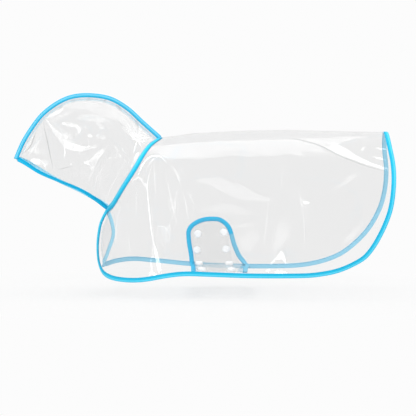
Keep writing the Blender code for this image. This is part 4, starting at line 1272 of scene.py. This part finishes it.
for index, (share, x) in enumerate(STRAP_SNAPS):
    here, up = strap_frame(path, share)
    place = Vector((x, here.x + up.x * STRAP_CAP_LIFT, here.y + up.y * STRAP_CAP_LIFT))
    add_snap(f"strap_cap_{index + 1}", place, Vector((0, up.x, up.y)), f"strap_snap_{index + 1}")
    if index < FASTENED_SNAPS:
        outside = Vector((x, BODY_HALF_WIDTH + SIDE_CAP_LIFT, here.y))
        add_snap(f"side_cap_{index + 1}", outside, Vector((0, 1, 0)), f"side_snap_{index + 1}")


# ---------------------------------------------------------------- stage, light and camera, in metres

FLOOR_Z = -0.239
FLOOR_REACH = 60.0
PAPER_WHITE = 0.973          # what the camera sees of the bare background
PAPER_GREY = 0.33            # how much of the lamps' light the paper under the coat gives back
PAPER_GLOW = 0.486           # and what it adds of its own, so that it comes out white
SHADE_ZONE = (0.2, 0.5)      # the paper takes shadows up to the first distance, none past the second
FRONT_AIR = 0.80             # brightness behind the camera, as the film mirrors it
WHITE = (1.0, 1.0, 1.0, 1.0)
MIDDLE = (0.0, 0.0, -0.08)

CREASE_PANEL_SIZE, CREASE_PANEL_RADIANCE = 8.5, 3.0
STRIP_DISTANCE = 3.0
STRIPS = [  # name, azimuth from the camera's side, elevation, width, height, radiance
    ("strip_left", -24, 3, 0.06, 1.8, 4.5), ("strip_right", 22, 3, 0.05, 1.8, 4.5),
    ("strip_left_wide", -52, 5, 0.10, 2.2, 4.0), ("strip_right_wide", 50, 5, 0.08, 2.0, 4.0)]

CAMERA_DISTANCE = 3.6
CAMERA_ELEVATION = math.radians(3.4)
CAMERA_TARGET = (0.012, 0.0, -0.1119)
FRAME_WIDTH = 0.624          # of what the camera sees at its target
SENSOR_WIDTH = 36.0          # millimetres
FILM_LAYERS = 32             # transparent surfaces that a ray may cross


def white_paper():
    """Seamless studio paper: it takes a soft shadow under the coat and is plain white further out."""
    made, tree = new_material("white_studio_paper")
    place = add_node(tree, "ShaderNodeTexCoord").outputs["Object"]
    reach = add_node(tree, "ShaderNodeVectorMath", {"operation": "LENGTH"}, {0: place})
    edge = add_node(tree, "ShaderNodeMapRange", {"From Min": SHADE_ZONE[0], "From Max": SHADE_ZONE[1]},
                    {"Value": reach.outputs["Value"]})
    matte = add_node(tree, "ShaderNodeBsdfDiffuse", {"Color": (PAPER_GREY, PAPER_GREY, PAPER_GREY, 1.0)})
    glow = add_node(tree, "ShaderNodeEmission", {"Color": WHITE, "Strength": PAPER_GLOW})
    near = add_node(tree, "ShaderNodeAddShader", None, {0: matte.outputs[0], 1: glow.outputs[0]})
    far = add_node(tree, "ShaderNodeEmission", {"Color": WHITE, "Strength": PAPER_WHITE})
    both = add_node(tree, "ShaderNodeMixShader", None,
                    {"Fac": edge.outputs[0], 1: near.outputs[0], 2: far.outputs[0]})
    add_node(tree, "ShaderNodeOutputMaterial", None, {"Surface": both.outputs[0]})
    return made


def add_floor():
    """A wide sheet of paper under the coat, which the film doesn't mirror."""
    shape = bmesh.new()
    bmesh.ops.create_grid(shape, x_segments=1, y_segments=1, size=FLOOR_REACH)
    bmesh.ops.translate(shape, vec=(0.0, 0.0, FLOOR_Z), verts=shape.verts)
    mesh = bpy.data.meshes.new("studio_floor")
    shape.to_mesh(mesh)
    shape.free()
    mesh.materials.append(white_paper())
    floor = bpy.data.objects.new("studio_floor", mesh)
    bpy.context.scene.collection.objects.link(floor)
    floor.visible_glossy = False


def add_air():
    """The bright room: plain white to the camera, and a little dimmer towards it for what is mirrored."""
    world = bpy.data.worlds.new("studio_air")
    bpy.context.scene.world = world
    world.use_nodes = True
    tree = world.node_tree
    tree.nodes.clear()
    way = add_node(tree, "ShaderNodeTexCoord").outputs["Generated"]
    axes = add_node(tree, "ShaderNodeSeparateXYZ", None, {0: way})
    back = add_node(tree, "ShaderNodeMapRange",
                    {"From Min": -0.2, "From Max": 0.4, "To Min": FRONT_AIR, "To Max": PAPER_WHITE},
                    {"Value": axes.outputs["Y"]})
    seen = add_node(tree, "ShaderNodeLightPath").outputs["Is Camera Ray"]
    strength = add_node(tree, "ShaderNodeMix", {"B": PAPER_WHITE}, {"Factor": seen, "A": back.outputs[0]})
    air = add_node(tree, "ShaderNodeBackground", {"Color": WHITE}, {"Strength": strength.outputs[0]})
    add_node(tree, "ShaderNodeOutputWorld", None, {"Surface": air.outputs[0]})


def add_softbox(name, place, size, radiance, target=MIDDLE, mirrored=True, lit=True, only=None):
    """A rectangular lamp that the camera doesn't see.

    mirrored: glossy surfaces show it; lit: it lights matte ones; only: it reaches just these pieces."""
    light = bpy.data.lights.new(name, "AREA")
    light.shape = "RECTANGLE"
    light.size, light.size_y = size
    light.energy = radiance * math.pi * size[0] * size[1]
    lamp = bpy.data.objects.new(name, light)
    lamp.location = place
    lamp.rotation_euler = (Vector(target) - Vector(place)).to_track_quat("-Z", "Y").to_euler()
    lamp.visible_glossy, lamp.visible_diffuse, lamp.visible_camera = mirrored, lit, False
    if only:
        light.use_shadow = False
        lamp.light_linking.receiver_collection = bpy.data.collections.new(name)
        for piece in only:
            lamp.light_linking.receiver_collection.objects.link(piece)
    bpy.context.scene.collection.objects.link(lamp)


def add_room_lights():
    """Two softboxes for shadow and tape, and one over the back for the film's long sheen."""
    add_softbox("overhead_softbox", (0.0, 0.1, 1.7), (1.4, 1.0), 4.2, mirrored=False)
    add_softbox("front_fill", (-0.7, -2.8, 1.2), (1.3, 1.3), 7.6, mirrored=False)
    add_softbox("back_panel", (-0.06, 0.17, 1.6), (0.78, 1.16), 1.35, target=(-0.06, 0.0, 0.0), lit=False,
                only=[panel])


def add_crease_panels():
    """White panels all round, which only the strips of painted light on the set creases mirror, each side's
    from its own side; they light up the painted glints.
    """
    near, far = [body_creases[0], hood_creases[0]], [body_creases[1], hood_creases[1]]
    for name, place, creases in (
            ("crease_panel_near", (0.0, -4.5, 0.2), near), ("crease_panel_far", (0.0, 4.5, 0.2), far),
            ("crease_panel_left", (-4.5, -0.6, 0.2), near + far),
            ("crease_panel_right", (4.5, -0.6, 0.2), near + far),
            ("crease_panel_over", (0.0, 0.3, 3.4), near + far),
            ("crease_panel_under", (0.0, 0.3, -3.6), near + far)):
        add_softbox(name, place, (CREASE_PANEL_SIZE, CREASE_PANEL_SIZE), CREASE_PANEL_RADIANCE, lit=False,
                    only=creases)


def add_strips():
    """Upright strip lamps on the camera's side, which draw lines of light down the film."""
    for name, azimuth, elevation, wide, high, radiance in STRIPS:
        azimuth, elevation = math.radians(azimuth), math.radians(elevation)
        way = Vector((math.sin(azimuth) * math.cos(elevation), -math.cos(azimuth) * math.cos(elevation),
                      math.sin(elevation)))
        add_softbox(name, Vector(MIDDLE) + way * STRIP_DISTANCE, (wide, high), radiance)


def add_camera():
    """A long lens square to the left side, from a little above."""
    lens = bpy.data.cameras.new("studio_camera")
    lens.sensor_width = SENSOR_WIDTH
    lens.lens = SENSOR_WIDTH * CAMERA_DISTANCE / FRAME_WIDTH
    camera = bpy.data.objects.new("studio_camera", lens)
    away = Vector((0.0, -math.cos(CAMERA_ELEVATION), math.sin(CAMERA_ELEVATION)))
    camera.location = Vector(CAMERA_TARGET) + away * CAMERA_DISTANCE
    camera.rotation_euler = (-away).to_track_quat("-Z", "Y").to_euler()
    bpy.context.scene.collection.objects.link(camera)
    bpy.context.scene.camera = camera


add_floor()
add_air()
add_room_lights()
add_crease_panels()
add_strips()
add_camera()
bpy.context.scene.view_settings.view_transform = "Standard"
bpy.context.scene.cycles.transparent_max_bounces = FILM_LAYERS
